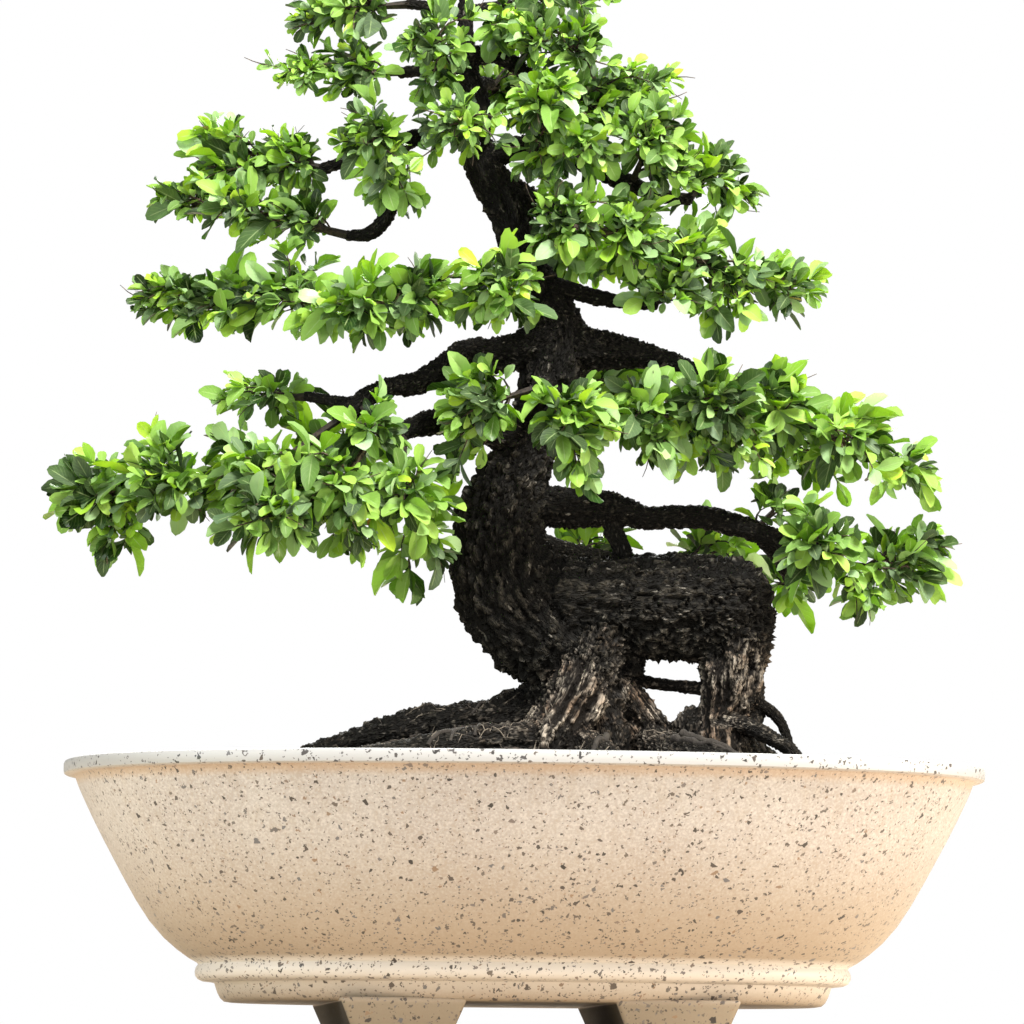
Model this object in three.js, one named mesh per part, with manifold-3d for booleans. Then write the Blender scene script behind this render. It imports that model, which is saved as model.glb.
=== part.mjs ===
// A broadleaf bonsai in an oval terrazzo pot. Millimetres, +Z up, X along the pot's length.
// The origin is on the ground under the middle of the whole tree and pot.
import * as THREE from 'three';
import { mergeVertices } from 'three/addons/utils/BufferGeometryUtils.js';
import Module from 'manifold-3d';

const wasm = await Module();
wasm.setup();

// Pot sizes
const RIM_HALF_LENGTH = 401;
const RIM_HALF_DEPTH = 271;
const OVAL_POWER = 2.3;
// The oval is as narrow as the rim's from this share of the rim's length on
const FULL_OVAL_FROM = 0.625;
const POT_SEGMENTS = 32;
const RIM_TOP = 248;
const BASE_BOTTOM = 40;
const POT_FLOOR = 78;
const SOIL_EDGE_TOP = 237;
const FOOT_OFFSET = 118;
const FOOT_TOP_WIDTH = 110;
const FOOT_BOTTOM_WIDTH = 74;
const FOOT_TOP_LENGTH = 260;
const FOOT_BOTTOM_LENGTH = 236;
const FOOT_SUNK = 3;
// The leaves reach further to the left than the pot does, so the pot stands a little to the right.
const POT_SHIFT = 11.5;
// How far the tree's middle line stands from the origin, and its lift above the drawn heights
const TREE_SHIFT = 5;
const TREE_LIFT = 3;

// The tree faces the viewer, and the pot's left end is turned this far towards the viewer.
const VIEW_TURN = THREE.MathUtils.degToRad(7);

// Gap that neighbouring solids keep
const GAP = 0.3;

// Sides of the limbs and the length of their segments
const STOUT_SIDES = 9;
const STOUT_STEP = 36;
const ROOT_SIDES = 5;
const ROOT_STEP = 46;
const BRANCH_SIDES = 5;
const TWIG_SIDES = 4;
const BRANCH_STEP = 40;
const STEM_SIDES = 3;
const STEM_STEP = 48;

// Furrows of a limb: how many go round it, how fast they wind and their depth as a share of the
// radius. The ends of a limb stand out by this share of the radius.
const FURROWS = [[3, 0.9, 0.05], [5, -1.7, 0.045]];
const BLUNT_END = 0.35;

// Radius of a spray's stem at its root, and how much of it is lost towards its tip
const STEM_RADIUS = 3.4;
const STEM_TAPER = 1.8;
const SHOOT_RADIUS = 2;

// Distance between the beads that keep leaves clear of other things, where a leaf's own beads are,
// and the share of their radius that counts
const BEAD_SPACING = 6;
const LEAF_BEADS = [0.4, 0.65, 0.9];
const BEAD_SHARE = 0.75;

// Room that a leaf keeps to other nodes and to the leaves of its own spray, which it may overlap,
// and that a shoot's tip keeps to other nodes
const LEAF_ROOM = 2;
const OWN_ROOM = -3;
const TIP_ROOM = 4;

// Leaf sizes. A leaf grows at every few beads of a stem, and at these places of a shoot, each with
// how far it leans aside.
const LEAF_LENGTH = 31;
const LEAF_WIDTH = 18;
const LEAF_WIDEST_AT = 0.66;
const LEAF_TIP_WIDTH = 0.42;
const LEAF_THICKNESS = 0.8;
const LEAF_SIZES = [0.84, 1.1];
const LEAF_DROOP = 0.12;
const LEAF_EVERY_BEADS = 7;
const SHOOT_LEAVES = [[0.45, 1], [0.74, -0.3]];
const LEAF_SEED = 8;

// How far a leaf's direction and its face stray at random
const LEAF_STRAY = 0.7;
const LEAF_TILT = 0.9;

// The shoots of a tuft reach out by this share of its half sizes. They rise by turns, each by up
// to RISE_CHANGE more, and are flatter from front to back.
const SHOOT_REACH = 0.65;
const SHOOT_RISES = [-0.3, 0.9];
const RISE_CHANGE = 0.4;
const SHOOT_DEPTH = 0.8;

// Where leaves look, as seen from the front: a little aside, outward and up. A spray that starts
// deeper than this looks to the back.
const OUTLOOK = [0.25, 1, 0.45];
const BACK_FROM = 20;

// Half-length and height of each ring of the pot's wall, from the underside's edge up over the rim
// and down inside to the floor. The half-depth is less by the same amount all the way.
const POT_RINGS = [
  [268, BASE_BOTTOM], [272, 52], [268, 56], [277, 58.5], [285, 63], [285, 69], [281, 74],
  [291, 77], [313, 95], [337, 128], [376, 200], [391, 235],
  [400, 236.5], [RIM_HALF_LENGTH, 246], [398.5, RIM_TOP],
  [373, RIM_TOP], [368, SOIL_EDGE_TOP], [302, 116], [262, POT_FLOOR],
];

// Rings of the soil's heaped top, as shares of its length
const SOIL_TOP_RINGS = [0.14, 0.34, 0.58, 0.84];

// The heaps of the soil, each with its height, its middle and how far it runs each way, and the
// height of the soil's small unevenness
const SOIL_HEAPS = [
  { height: 34, x: -45, length: 125, depth: 70 },
  { height: 14, x: 60, length: 190, depth: 150 },
];
const SOIL_GRAIN = 1.5;

// Limbs of the tree as [across, deep, up, radius], seen by the viewer in front of it: across to the
// right, deep away from the viewer. The first group is stout, the last is thin.
const STOUT_LIMBS = [
  // Neck and trunk
  [[60, 0, 322, 30], [28, 0, 356, 45], [-4, 0, 392, 50], [-18, 0, 440, 41], [-10, 0, 482, 33],
    [4, 0, 513, 24], [14, 0, 545, 22], [26, 0, 590, 24], [33, 4, 622, 24], [22, 6, 655, 19],
    [3, 4, 685, 16], [-4, 0, 712, 18], [-14, -2, 738, 19], [-32, -4, 765, 16], [-42, -4, 795, 12],
    [-38, 0, 822, 10], [-47, 0, 850, 9], [-50, 0, 882, 7], [-50, 0, 918, 6], [-46, 0, 950, 4]],
  // Lying body
  [[18, 0, 386, 42], [70, 0, 384, 42], [115, 0, 384, 44], [160, 2, 384, 43], [192, 2, 383, 40],
    [213, 2, 376, 23]],
  // Left front leg
  [[72, -10, 368, 32], [58, -24, 325, 25], [42, -34, 290, 21], [27, -42, 262, 22],
    [18, -48, 232, 19], [14, -52, 205, 12]],
  // Right front leg
  [[82, 6, 362, 32], [82, 4, 336, 27], [81, 4, 318, 20], [90, 4, 303, 18], [102, 6, 287, 17],
    [115, 8, 270, 17], [126, 8, 244, 16], [132, 8, 210, 12]],
  // Rear leg
  [[190, 4, 385, 35], [187, 4, 345, 30], [183, 0, 310, 23], [177, -4, 285, 16],
    [178, -8, 262, 15], [180, -10, 232, 15], [182, -12, 205, 12]],
];
const ROOT_LIMBS = [
  // Roots on the heap at the left: top, front and back
  [[40, 0, 308, 24], [5, 4, 291, 19], [-40, 4, 283, 17], [-85, 4, 280, 15], [-125, 2, 269, 14],
    [-165, 0, 254, 12], [-205, -4, 239, 9], [-235, -6, 222, 6]],
  [[30, -40, 262, 20], [-10, -56, 261, 16], [-55, -70, 256, 14], [-100, -84, 250, 12],
    [-145, -98, 241, 10], [-180, -108, 226, 7]],
  [[20, 30, 290, 20], [-30, 48, 275, 16], [-85, 66, 261, 14], [-135, 84, 249, 11],
    [-170, 96, 233, 8]],
  // Roots to the front right, the back right and the front
  [[118, -4, 262, 18], [140, -40, 255, 14], [165, -70, 249, 12], [190, -98, 241, 9],
    [205, -115, 226, 7]],
  [[182, 10, 266, 18], [205, 50, 256, 14], [228, 84, 248, 11], [248, 108, 239, 8],
    [258, 120, 224, 6]],
  [[60, -40, 256, 16], [72, -84, 249, 13], [80, -118, 243, 9], [86, -140, 228, 7]],
  // Root between the front legs
  [[66, 0, 335, 24], [72, -6, 304, 21], [78, -12, 276, 18], [78, -18, 248, 16], [76, -22, 222, 12]],
  // Knob by the rear leg
  [[156, 4, 225, 20], [152, 0, 262, 19], [151, -2, 282, 15], [154, 0, 296, 7]],
];
const MIDDLE_LIMBS = [
  // Left low branch
  [[28, 0, 618, 22], [0, -2, 608, 17], [-22, -6, 604, 15], [-47, -14, 604, 12],
    [-66, -24, 590, 12], [-90, -34, 575, 10], [-114, -44, 571, 8.5], [-135, -54, 559, 9],
    [-158, -62, 538, 8]],
  // Second left branch
  [[8, -4, 528, 18], [-30, -16, 536, 12], [-58, -28, 541, 11], [-82, -40, 540, 11],
    [-106, -54, 530, 7]],
  // Right long branch
  [[26, 2, 640, 18], [50, 2, 612, 20], [80, 4, 609, 16], [104, 4, 606, 12], [124, 2, 602, 9],
    [150, -2, 591, 8], [166, -6, 580, 6]],
  // Right low branch
  [[-5, 6, 472, 20], [22, 6, 472, 18], [48, 8, 471, 18], [74, 8, 471, 16], [94, 8, 468, 12],
    [110, 8, 463, 10], [134, 10, 464, 10], [158, 10, 464, 10], [182, 8, 459, 10],
    [205, 4, 452, 9], [230, 0, 442, 8], [258, -4, 431, 7], [290, -8, 420, 5]],
  // Stub from that branch down to the back
  [[80, 8, 455, 9], [88, 6, 440, 8], [93, 4, 422, 9]],
  // Back low branch
  [[-8, 14, 455, 16], [12, 60, 447, 10], [48, 92, 438, 8], [92, 110, 433, 7],
    [138, 117, 431, 5]],
  // Left high branch with its loop
  [[-42, 0, 800, 11], [-70, -4, 799, 8], [-100, -8, 791, 8], [-123, -10, 772, 7],
    [-113, -12, 748, 7], [-117, -14, 726, 7], [-131, -16, 709, 6], [-154, -18, 706, 5]],
  // Right high branch
  [[-36, 0, 775, 13], [0, -6, 788, 9], [30, -8, 786, 8], [56, -8, 772, 8], [92, -8, 756, 8],
    [122, -6, 745, 6], [150, -4, 741, 5]],
  // Short branch above the middle right one
  [[-12, 0, 748, 14], [14, 2, 739, 10], [36, 2, 731, 8], [56, 2, 722, 6]],
];
const THIN_LIMBS = [
  // Thin roots: across the gap under the body, two arches behind the rear leg, and beside it
  [[84, 8, 326, 6], [112, 6, 319, 5], [135, 4, 316, 5], [166, 2, 313, 6]],
  [[198, 0, 304, 6], [212, 2, 300, 5], [223, 4, 292, 5], [232, 6, 279, 4.5], [237, 8, 262, 4.5],
    [240, 8, 230, 4.5]],
  [[180, -14, 286, 8], [198, -18, 281, 7.5], [213, -20, 273, 7], [226, -20, 266, 6.5],
    [240, -18, 256, 6], [250, -16, 228, 5]],
  [[200, 12, 330, 12], [202, 14, 304, 13], [203, 6, 286, 11], [204, -6, 276, 8]],
  // Twig over the left low branch
  [[-142, -58, 554, 6], [-162, -50, 558, 5], [-188, -42, 563, 4.5]],
  // Short branches to the front in the middle
  [[20, -12, 572, 12], [18, -42, 572, 8], [16, -66, 568, 6]],
  [[0, -8, 690, 10], [-6, -32, 682, 7], [-12, -48, 672, 5]],
  [[-36, -6, 790, 9], [-34, -30, 796, 6], [-32, -50, 800, 5]],
  // Fork of the right low branch
  [[212, 4, 446, 7], [226, 22, 432, 6.5], [236, 44, 418, 6], [240, 66, 408, 5]],
  // Left middle branch
  [[15, 0, 655, 13], [-20, -8, 650, 9], [-60, -14, 648, 8], [-105, -18, 644, 7],
    [-150, -20, 641, 5.5]],
  // Right middle branch
  [[14, 2, 668, 12], [36, -4, 663, 8], [64, -8, 655, 7], [92, -12, 650, 6], [120, -16, 648, 5]],
  // Left high branch's outer arm
  [[-98, -6, 792, 7], [-138, -4, 778, 6], [-178, 0, 766, 5]],
  // Top branches to the right and to the left
  [[-46, 0, 868, 9], [-24, -2, 868, 7], [0, -4, 855, 7], [14, -4, 842, 6], [34, -6, 832, 5]],
  [[-46, 0, 854, 8], [-72, -2, 855, 6], [-110, -4, 852, 5]],
  [[-50, 0, 902, 6], [-78, 0, 910, 5], [-104, 0, 914, 4.5]],
  [[-50, 0, 906, 6], [-26, 2, 912, 5], [-4, 2, 914, 4.5]],
  // Branches to the back
  [[28, 8, 620, 14], [42, 56, 612, 9], [60, 92, 598, 6]],
  [[-6, 6, 716, 12], [10, 44, 716, 8], [26, 76, 712, 6]],
  [[-46, 4, 838, 8], [-38, 34, 848, 6], [-28, 60, 852, 5]],
];

// Leafy sprays. Each starts on a branch at start and runs on through the middles of its tufts,
// and a tuft is [across, deep, up, half width, half height, shoots].
const SPRAYS = [
  { name: 'spray_left_low_tip', start: [-156, -61, 540],
    tufts: [[-232, -70, 490, 44, 44, 2], [-308, -62, 483, 46, 42, 2], [-366, -52, 470, 42, 34, 2]] },
  { name: 'spray_left_low_front', start: [-138, -55, 557],
    tufts: [[-128, -90, 526, 32, 24, 2], [-166, -124, 470, 42, 44, 2], [-212, -150, 450, 40, 34, 2]] },
  { name: 'spray_left_low_inner', start: [-102, -52, 532],
    tufts: [[-98, -92, 472, 34, 40, 2], [-84, -70, 430, 30, 30, 1]] },
  { name: 'spray_left_low_upper', start: [-184, -43, 562],
    tufts: [[-226, -26, 562, 46, 20, 2]] },
  { name: 'spray_left_low_back', start: [-106, -41, 572],
    tufts: [[-168, 34, 514, 44, 34, 2], [-246, 44, 492, 42, 30, 2]] },
  { name: 'spray_centre_left', start: [17, -58, 570],
    tufts: [[-34, -84, 552, 38, 42, 2]] },
  { name: 'spray_centre_right', start: [16, -63, 568],
    tufts: [[42, -110, 536, 38, 42, 2]] },
  { name: 'spray_right_long_inner', start: [128, 1, 601],
    tufts: [[108, -62, 544, 38, 38, 2], [170, -72, 556, 38, 40, 2]] },
  { name: 'spray_right_long_tip', start: [162, -5, 583],
    tufts: [[226, -22, 552, 40, 42, 2], [284, -22, 526, 38, 36, 2], [336, -20, 502, 30, 24, 2]] },
  { name: 'spray_right_long_back', start: [108, 4, 606],
    tufts: [[184, 66, 556, 42, 34, 2], [250, 66, 524, 38, 30, 1]] },
  { name: 'spray_right_low_tip', start: [286, -8, 421],
    tufts: [[330, -12, 419, 40, 30, 3]] },
  { name: 'spray_right_low_inner', start: [246, -2, 434],
    tufts: [[258, -52, 432, 36, 34, 2]] },
  { name: 'spray_right_low_upper', start: [206, 4, 452],
    tufts: [[224, -10, 472, 22, 10, 1]] },
  { name: 'spray_back_low_left', start: [52, 93, 437],
    tufts: [[58, 140, 444, 40, 26, 2]] },
  { name: 'spray_back_low_right', start: [132, 116, 431],
    tufts: [[170, 138, 442, 44, 26, 2]] },
  { name: 'spray_fork', start: [239, 60, 410],
    tufts: [[236, 104, 412, 30, 28, 2]] },
  { name: 'spray_left_middle_tip', start: [-146, -20, 641],
    tufts: [[-206, -30, 650, 42, 34, 2], [-258, -26, 644, 38, 32, 2], [-298, -20, 648, 30, 24, 1]] },
  { name: 'spray_left_middle_front', start: [-112, -18, 644],
    tufts: [[-140, -80, 636, 40, 32, 2], [-84, -82, 648, 36, 32, 2]] },
  { name: 'spray_left_middle_back', start: [-84, -16, 646],
    tufts: [[-128, 50, 648, 46, 30, 2]] },
  { name: 'spray_middle_front', start: [-11, -46, 673],
    tufts: [[-18, -88, 652, 34, 40, 2]] },
  { name: 'spray_right_middle_inner', start: [50, 2, 725],
    tufts: [[38, -54, 714, 36, 44, 2], [98, -46, 700, 38, 42, 2]] },
  { name: 'spray_right_middle_tip', start: [116, -16, 648],
    tufts: [[150, -20, 686, 38, 32, 2], [200, -20, 668, 36, 28, 2], [236, -18, 662, 28, 22, 1]] },
  { name: 'spray_right_middle_back', start: [53, 2, 723],
    tufts: [[118, 66, 694, 44, 30, 2]] },
  { name: 'spray_left_high_low', start: [-150, -18, 706],
    tufts: [[-196, -24, 716, 36, 24, 2], [-250, -26, 728, 38, 26, 2], [-296, -20, 734, 28, 18, 1]] },
  { name: 'spray_left_high_tip', start: [-174, 0, 767],
    tufts: [[-206, -6, 772, 36, 32, 2], [-256, -4, 762, 38, 32, 2]] },
  { name: 'spray_left_high_inner', start: [-108, -7, 788],
    tufts: [[-130, -56, 784, 40, 32, 2]] },
  { name: 'spray_right_high_tip', start: [146, -4, 742],
    tufts: [[164, -2, 762, 32, 26, 2], [188, 4, 744, 24, 16, 1]] },
  { name: 'spray_right_high_inner', start: [96, -8, 754],
    tufts: [[112, -56, 790, 38, 34, 2]] },
  { name: 'spray_high_front', start: [-32, -48, 800],
    tufts: [[-58, -84, 792, 38, 30, 2]] },
  { name: 'spray_top_right', start: [30, -6, 834],
    tufts: [[68, 0, 824, 38, 32, 2], [46, -30, 870, 32, 26, 2], [6, -34, 880, 30, 22, 1]] },
  { name: 'spray_top_right_front', start: [11, -4, 845],
    tufts: [[20, -62, 812, 36, 32, 2], [54, -64, 776, 32, 24, 1]] },
  { name: 'spray_top_left', start: [-104, -4, 853],
    tufts: [[-146, -8, 850, 36, 26, 2], [-194, -8, 852, 28, 16, 1]] },
  { name: 'spray_top_front', start: [-58, -1, 855],
    tufts: [[-78, -62, 868, 38, 28, 2]] },
  { name: 'spray_crown_left', start: [-99, 0, 913],
    tufts: [[-150, -6, 908, 40, 32, 2]] },
  { name: 'spray_crown_right', start: [-9, 2, 914],
    tufts: [[28, -4, 924, 42, 30, 2]] },
  { name: 'spray_crown_top', start: [-46, 0, 944],
    tufts: [[-62, -2, 968, 44, 30, 2]] },
  { name: 'spray_back_low', start: [58, 88, 599],
    tufts: [[74, 138, 584, 48, 34, 2]] },
  { name: 'spray_back_middle', start: [24, 72, 712],
    tufts: [[44, 126, 704, 50, 32, 2]] },
  { name: 'spray_back_high', start: [-30, 56, 851],
    tufts: [[-22, 104, 850, 48, 34, 2]] },
];

// Random numbers from 0 to 1 that are the same each time
function seededRandom(seed) {
  let state = seed;
  return () => {
    state = (state + 0x6d2b79f5) | 0;
    let mixed = Math.imul(state ^ (state >>> 15), 1 | state);
    mixed = (mixed + Math.imul(mixed ^ (mixed >>> 7), 61 | mixed)) ^ mixed;
    return ((mixed ^ (mixed >>> 14)) >>> 0) / 4294967296;
  };
}

// A place of the tree in the part's frame
function place([across, deep, up]) {
  const seen = new THREE.Vector3(across, deep, up);
  seen.applyAxisAngle(new THREE.Vector3(0, 0, 1), -VIEW_TURN);
  seen.x += TREE_SHIFT;
  seen.z += TREE_LIFT;
  return seen;
}

// A solid of a closed geometry, whose triangles with no width are left out
function solidOf(geometry) {
  geometry.deleteAttribute('normal');
  geometry.deleteAttribute('uv');
  const merged = mergeVertices(geometry, 1e-3);
  const corners = [...merged.index.array];
  const triangles = [];
  for (let i = 0; i < corners.length; i += 3) {
    const [a, b, c] = corners.slice(i, i + 3);
    if (a !== b && b !== c && c !== a) {
      triangles.push(a, b, c);
    }
  }
  return new wasm.Manifold(new wasm.Mesh({
    numProp: 3,
    vertProperties: new Float32Array(merged.attributes.position.array),
    triVerts: new Uint32Array(triangles),
  }));
}

function geometryOf(solid) {
  const mesh = solid.getMesh();
  const geometry = new THREE.BufferGeometry();
  geometry.setAttribute('position', new THREE.BufferAttribute(mesh.vertProperties, 3));
  geometry.setIndex(new THREE.BufferAttribute(mesh.triVerts, 1));
  geometry.computeVertexNormals();
  return geometry;
}

// The largest body of a solid, with loose scraps dropped and sealed hollows filled
function mainBody(solid) {
  const bodies = solid.decompose();
  return bodies.reduce((best, body) => (body.volume() > best.volume() ? body : best));
}

function joined(solids) {
  return solids.reduce((whole, solid) => whole.add(solid));
}

// Closed oval rings, each [half-length, height], between two points of the axis
function ovalGeometry(rings, first, last) {
  const profile = [
    new THREE.Vector2(0, first),
    ...rings.map(([halfLength, height]) => new THREE.Vector2(halfLength, height)),
    new THREE.Vector2(0, last),
  ];
  const geometry = new THREE.LatheGeometry(profile, POT_SEGMENTS);
  const position = geometry.attributes.position;
  for (let i = 0; i < position.count; i += 1) {
    const ring = profile[i % profile.length];
    const turn = Math.floor(i / profile.length) / POT_SEGMENTS * 2 * Math.PI;
    const [x, y] = ovalPoint(ring.x, turn);
    position.setXYZ(i, x + POT_SHIFT, y, ring.y);
  }
  return geometry;
}

// A point of the oval with the given half-length
function ovalPoint(halfLength, turn) {
  const share = halfLength / RIM_HALF_LENGTH;
  const narrower = (RIM_HALF_LENGTH - RIM_HALF_DEPTH) * Math.min(1, share / FULL_OVAL_FROM);
  const halfDepth = halfLength - narrower;
  const across = Math.cos(turn);
  const deep = Math.sin(turn);
  return [
    halfLength * Math.sign(across) * Math.abs(across) ** (2 / OVAL_POWER),
    halfDepth * Math.sign(deep) * Math.abs(deep) ** (2 / OVAL_POWER),
  ];
}

// A bar foot from front to back, narrower at the ground
function footSolid(side) {
  const height = BASE_BOTTOM + FOOT_SUNK;
  const geometry = new THREE.BoxGeometry(FOOT_TOP_WIDTH, FOOT_TOP_LENGTH, height);
  const position = geometry.attributes.position;
  for (let i = 0; i < position.count; i += 1) {
    if (position.getZ(i) < 0) {
      position.setX(i, position.getX(i) * FOOT_BOTTOM_WIDTH / FOOT_TOP_WIDTH);
      position.setY(i, position.getY(i) * FOOT_BOTTOM_LENGTH / FOOT_TOP_LENGTH);
    }
  }
  geometry.translate(side * FOOT_OFFSET + POT_SHIFT, 0, height / 2);
  return solidOf(geometry);
}

function potSolid() {
  const bowl = solidOf(ovalGeometry(POT_RINGS, BASE_BOTTOM, POT_FLOOR));
  return joined([bowl, footSolid(-1), footSolid(1)]);
}

// How far the soil is heaped above its edge
function soilHeap(x, y) {
  const grain = Math.sin(x / 17 + y / 31) * Math.sin(y / 13 - x / 41);
  return SOIL_HEAPS.reduce((sum, heap) => {
    const along = (x - heap.x) / heap.length;
    const deep = y / heap.depth;
    return sum + heap.height * Math.exp(-(along ** 2) - deep ** 2);
  }, SOIL_GRAIN * grain);
}

// The soil's wall follows the last three rings of the pot's inside, a gap away
function soilSolid(hole) {
  const wall = POT_RINGS.slice(-3).map(([halfLength, height]) => [halfLength - GAP, height]);
  wall[2][1] += GAP;
  const top = SOIL_TOP_RINGS.map((share) => [wall[0][0] * share, SOIL_EDGE_TOP]);
  const geometry = ovalGeometry([...top, ...wall], SOIL_EDGE_TOP, POT_FLOOR + GAP);
  const position = geometry.attributes.position;
  for (let i = 0; i < position.count; i += 1) {
    const x = position.getX(i) - POT_SHIFT;
    if (i % (top.length + wall.length + 2) <= top.length) {
      position.setZ(i, SOIL_EDGE_TOP + soilHeap(x, position.getY(i)));
    }
  }
  return mainBody(solidOf(turnedOut(geometry)).subtract(hole));
}

// A round limb along a bent line. Furrows run along it, and its ends are blunt.
function limbSolid(stations, sides, step, grow) {
  const line = new THREE.CatmullRomCurve3(stations.map(place), false, 'centripetal');
  const radii = new THREE.CatmullRomCurve3(
    stations.map((station) => new THREE.Vector3(station[3], 0, 0)),
    false,
    'catmullrom',
    0.3,
  );
  const segments = Math.max(2, Math.round(line.getLength() / step));
  const frames = line.computeFrenetFrames(segments, false);
  const geometry = new THREE.CylinderGeometry(1, 1, segments, sides, segments);
  const position = geometry.attributes.position;
  for (let i = 0; i < position.count; i += 1) {
    const ring = Math.round(position.getY(i) + segments / 2);
    const share = ring / segments;
    const turn = Math.atan2(position.getZ(i), position.getX(i));
    const onAxis = Math.hypot(position.getX(i), position.getZ(i)) < 0.5;
    const radius = radii.getPoint(line.getUtoTmapping(share)).x;
    const furrow = FURROWS.reduce((sum, [count, winding, depth]) => (
      sum + Math.sin(turn * count + ring * winding) * depth
    ), 0);
    const point = line.getPointAt(share);
    const out = onAxis ? 0 : radius * (1 + furrow) + grow;
    point.addScaledVector(frames.normals[ring], Math.cos(turn) * out);
    point.addScaledVector(frames.binormals[ring], Math.sin(turn) * out);
    if (onAxis) {
      const end = share > 0.5 ? 1 : -1;
      point.addScaledVector(frames.tangents[ring], end * (radius * BLUNT_END + grow));
    }
    position.setXYZ(i, point.x, point.y, point.z);
  }
  const solid = solidOf(geometry);
  return solid.volume() < 0 ? solidOf(turnedOut(geometry)) : solid;
}

// The same geometry with its faces turned over
function turnedOut(geometry) {
  const index = geometry.index;
  for (let i = 0; i < index.count; i += 3) {
    const first = index.getX(i);
    index.setX(i, index.getX(i + 1));
    index.setX(i + 1, first);
  }
  return geometry;
}

function treeSolid(grow) {
  const stout = STOUT_LIMBS.map((stations) => limbSolid(stations, STOUT_SIDES, STOUT_STEP, grow));
  const roots = ROOT_LIMBS.map((stations) => limbSolid(stations, ROOT_SIDES, ROOT_STEP, grow));
  const middle = MIDDLE_LIMBS.map((stations) => limbSolid(stations, BRANCH_SIDES, BRANCH_STEP, grow));
  const thin = THIN_LIMBS.map((stations) => limbSolid(stations, TWIG_SIDES, BRANCH_STEP, grow));
  return mainBody(joined([...stout, ...roots, ...middle, ...thin]));
}

// Evenly spaced points along a line of stations, each with the radius there
function beadsAlong(stations) {
  const line = new THREE.CatmullRomCurve3(stations.map(place), false, 'centripetal');
  const count = Math.ceil(line.getLength() / BEAD_SPACING);
  const beads = [];
  for (let i = 0; i <= count; i += 1) {
    const share = i / count;
    const along = line.getUtoTmapping(share) * (stations.length - 1);
    const before = Math.min(Math.floor(along), stations.length - 2);
    const radius = THREE.MathUtils.lerp(
      stations[before][3],
      stations[before + 1][3],
      along - before,
    );
    beads.push({ point: line.getPointAt(share), radius });
  }
  return beads;
}

// One leaf: pointed at its base, widest near its blunt tip, and drooping a little
function leafSolid(base, direction, upward, size) {
  const length = LEAF_LENGTH * size;
  const half = LEAF_WIDTH * size / 2;
  const outline = new THREE.Shape([
    new THREE.Vector2(half, length * LEAF_WIDEST_AT),
    new THREE.Vector2(half * LEAF_TIP_WIDTH, length),
    new THREE.Vector2(-half * LEAF_TIP_WIDTH, length),
    new THREE.Vector2(-half, length * LEAF_WIDEST_AT),
    new THREE.Vector2(0, 0),
  ]);
  const geometry = new THREE.ExtrudeGeometry(outline, {
    depth: LEAF_THICKNESS,
    bevelEnabled: false,
  });
  const position = geometry.attributes.position;
  for (let i = 0; i < position.count; i += 1) {
    const along = position.getY(i) / length;
    const level = along > 0 ? position.getZ(i) - LEAF_THICKNESS / 2 : 0;
    position.setZ(i, level - along * along * length * LEAF_DROOP);
  }
  const side = new THREE.Vector3().crossVectors(direction, upward).normalize();
  const face = new THREE.Vector3().crossVectors(side, direction).normalize();
  geometry.applyMatrix4(new THREE.Matrix4().makeBasis(side, direction, face).setPosition(base));
  return solidOf(geometry);
}

// The beads of a leaf, for keeping it clear of other things
function leafBeads(base, direction, size) {
  return LEAF_BEADS.map((share) => ({
    point: base.clone().addScaledVector(direction, LEAF_LENGTH * size * share),
    radius: LEAF_WIDTH * size * 0.5,
  }));
}

function clearOf(beads, others, margin) {
  return beads.every((bead) => others.every((other) => (
    bead.point.distanceTo(other.point) > bead.radius * BEAD_SHARE + other.radius + margin
  )));
}

function stemStations(spray) {
  const points = [spray.start, ...spray.tufts.map((tuft) => tuft.slice(0, 3))];
  return points.map((point, i) => [...point, STEM_RADIUS - STEM_TAPER * i / (points.length - 1)]);
}

// The leaf whose root is at base on a twig that runs along heading. It leans away from the twig by
// the given share, and its face looks outward. Null if it isn't clear of others.
function leafOn(base, heading, side, outlook, random, others, own) {
  const size = THREE.MathUtils.lerp(...LEAF_SIZES, random());
  const jitter = new THREE.Vector3(random() - 0.5, random() - 0.5, random() - 0.5);
  const aside = new THREE.Vector3().crossVectors(heading, outlook).normalize();
  const direction = heading.clone().multiplyScalar(1.1 - 0.5 * Math.abs(side));
  direction.addScaledVector(aside, side).addScaledVector(jitter, LEAF_STRAY).normalize();
  const beads = leafBeads(base, direction, size);
  if (!clearOf(beads, others, LEAF_ROOM) || !clearOf(beads, own, OWN_ROOM)) {
    return null;
  }
  const upward = outlook.clone().addScaledVector(jitter, LEAF_TILT);
  own.push(...beads);
  return leafSolid(base, direction, upward, size);
}

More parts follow.
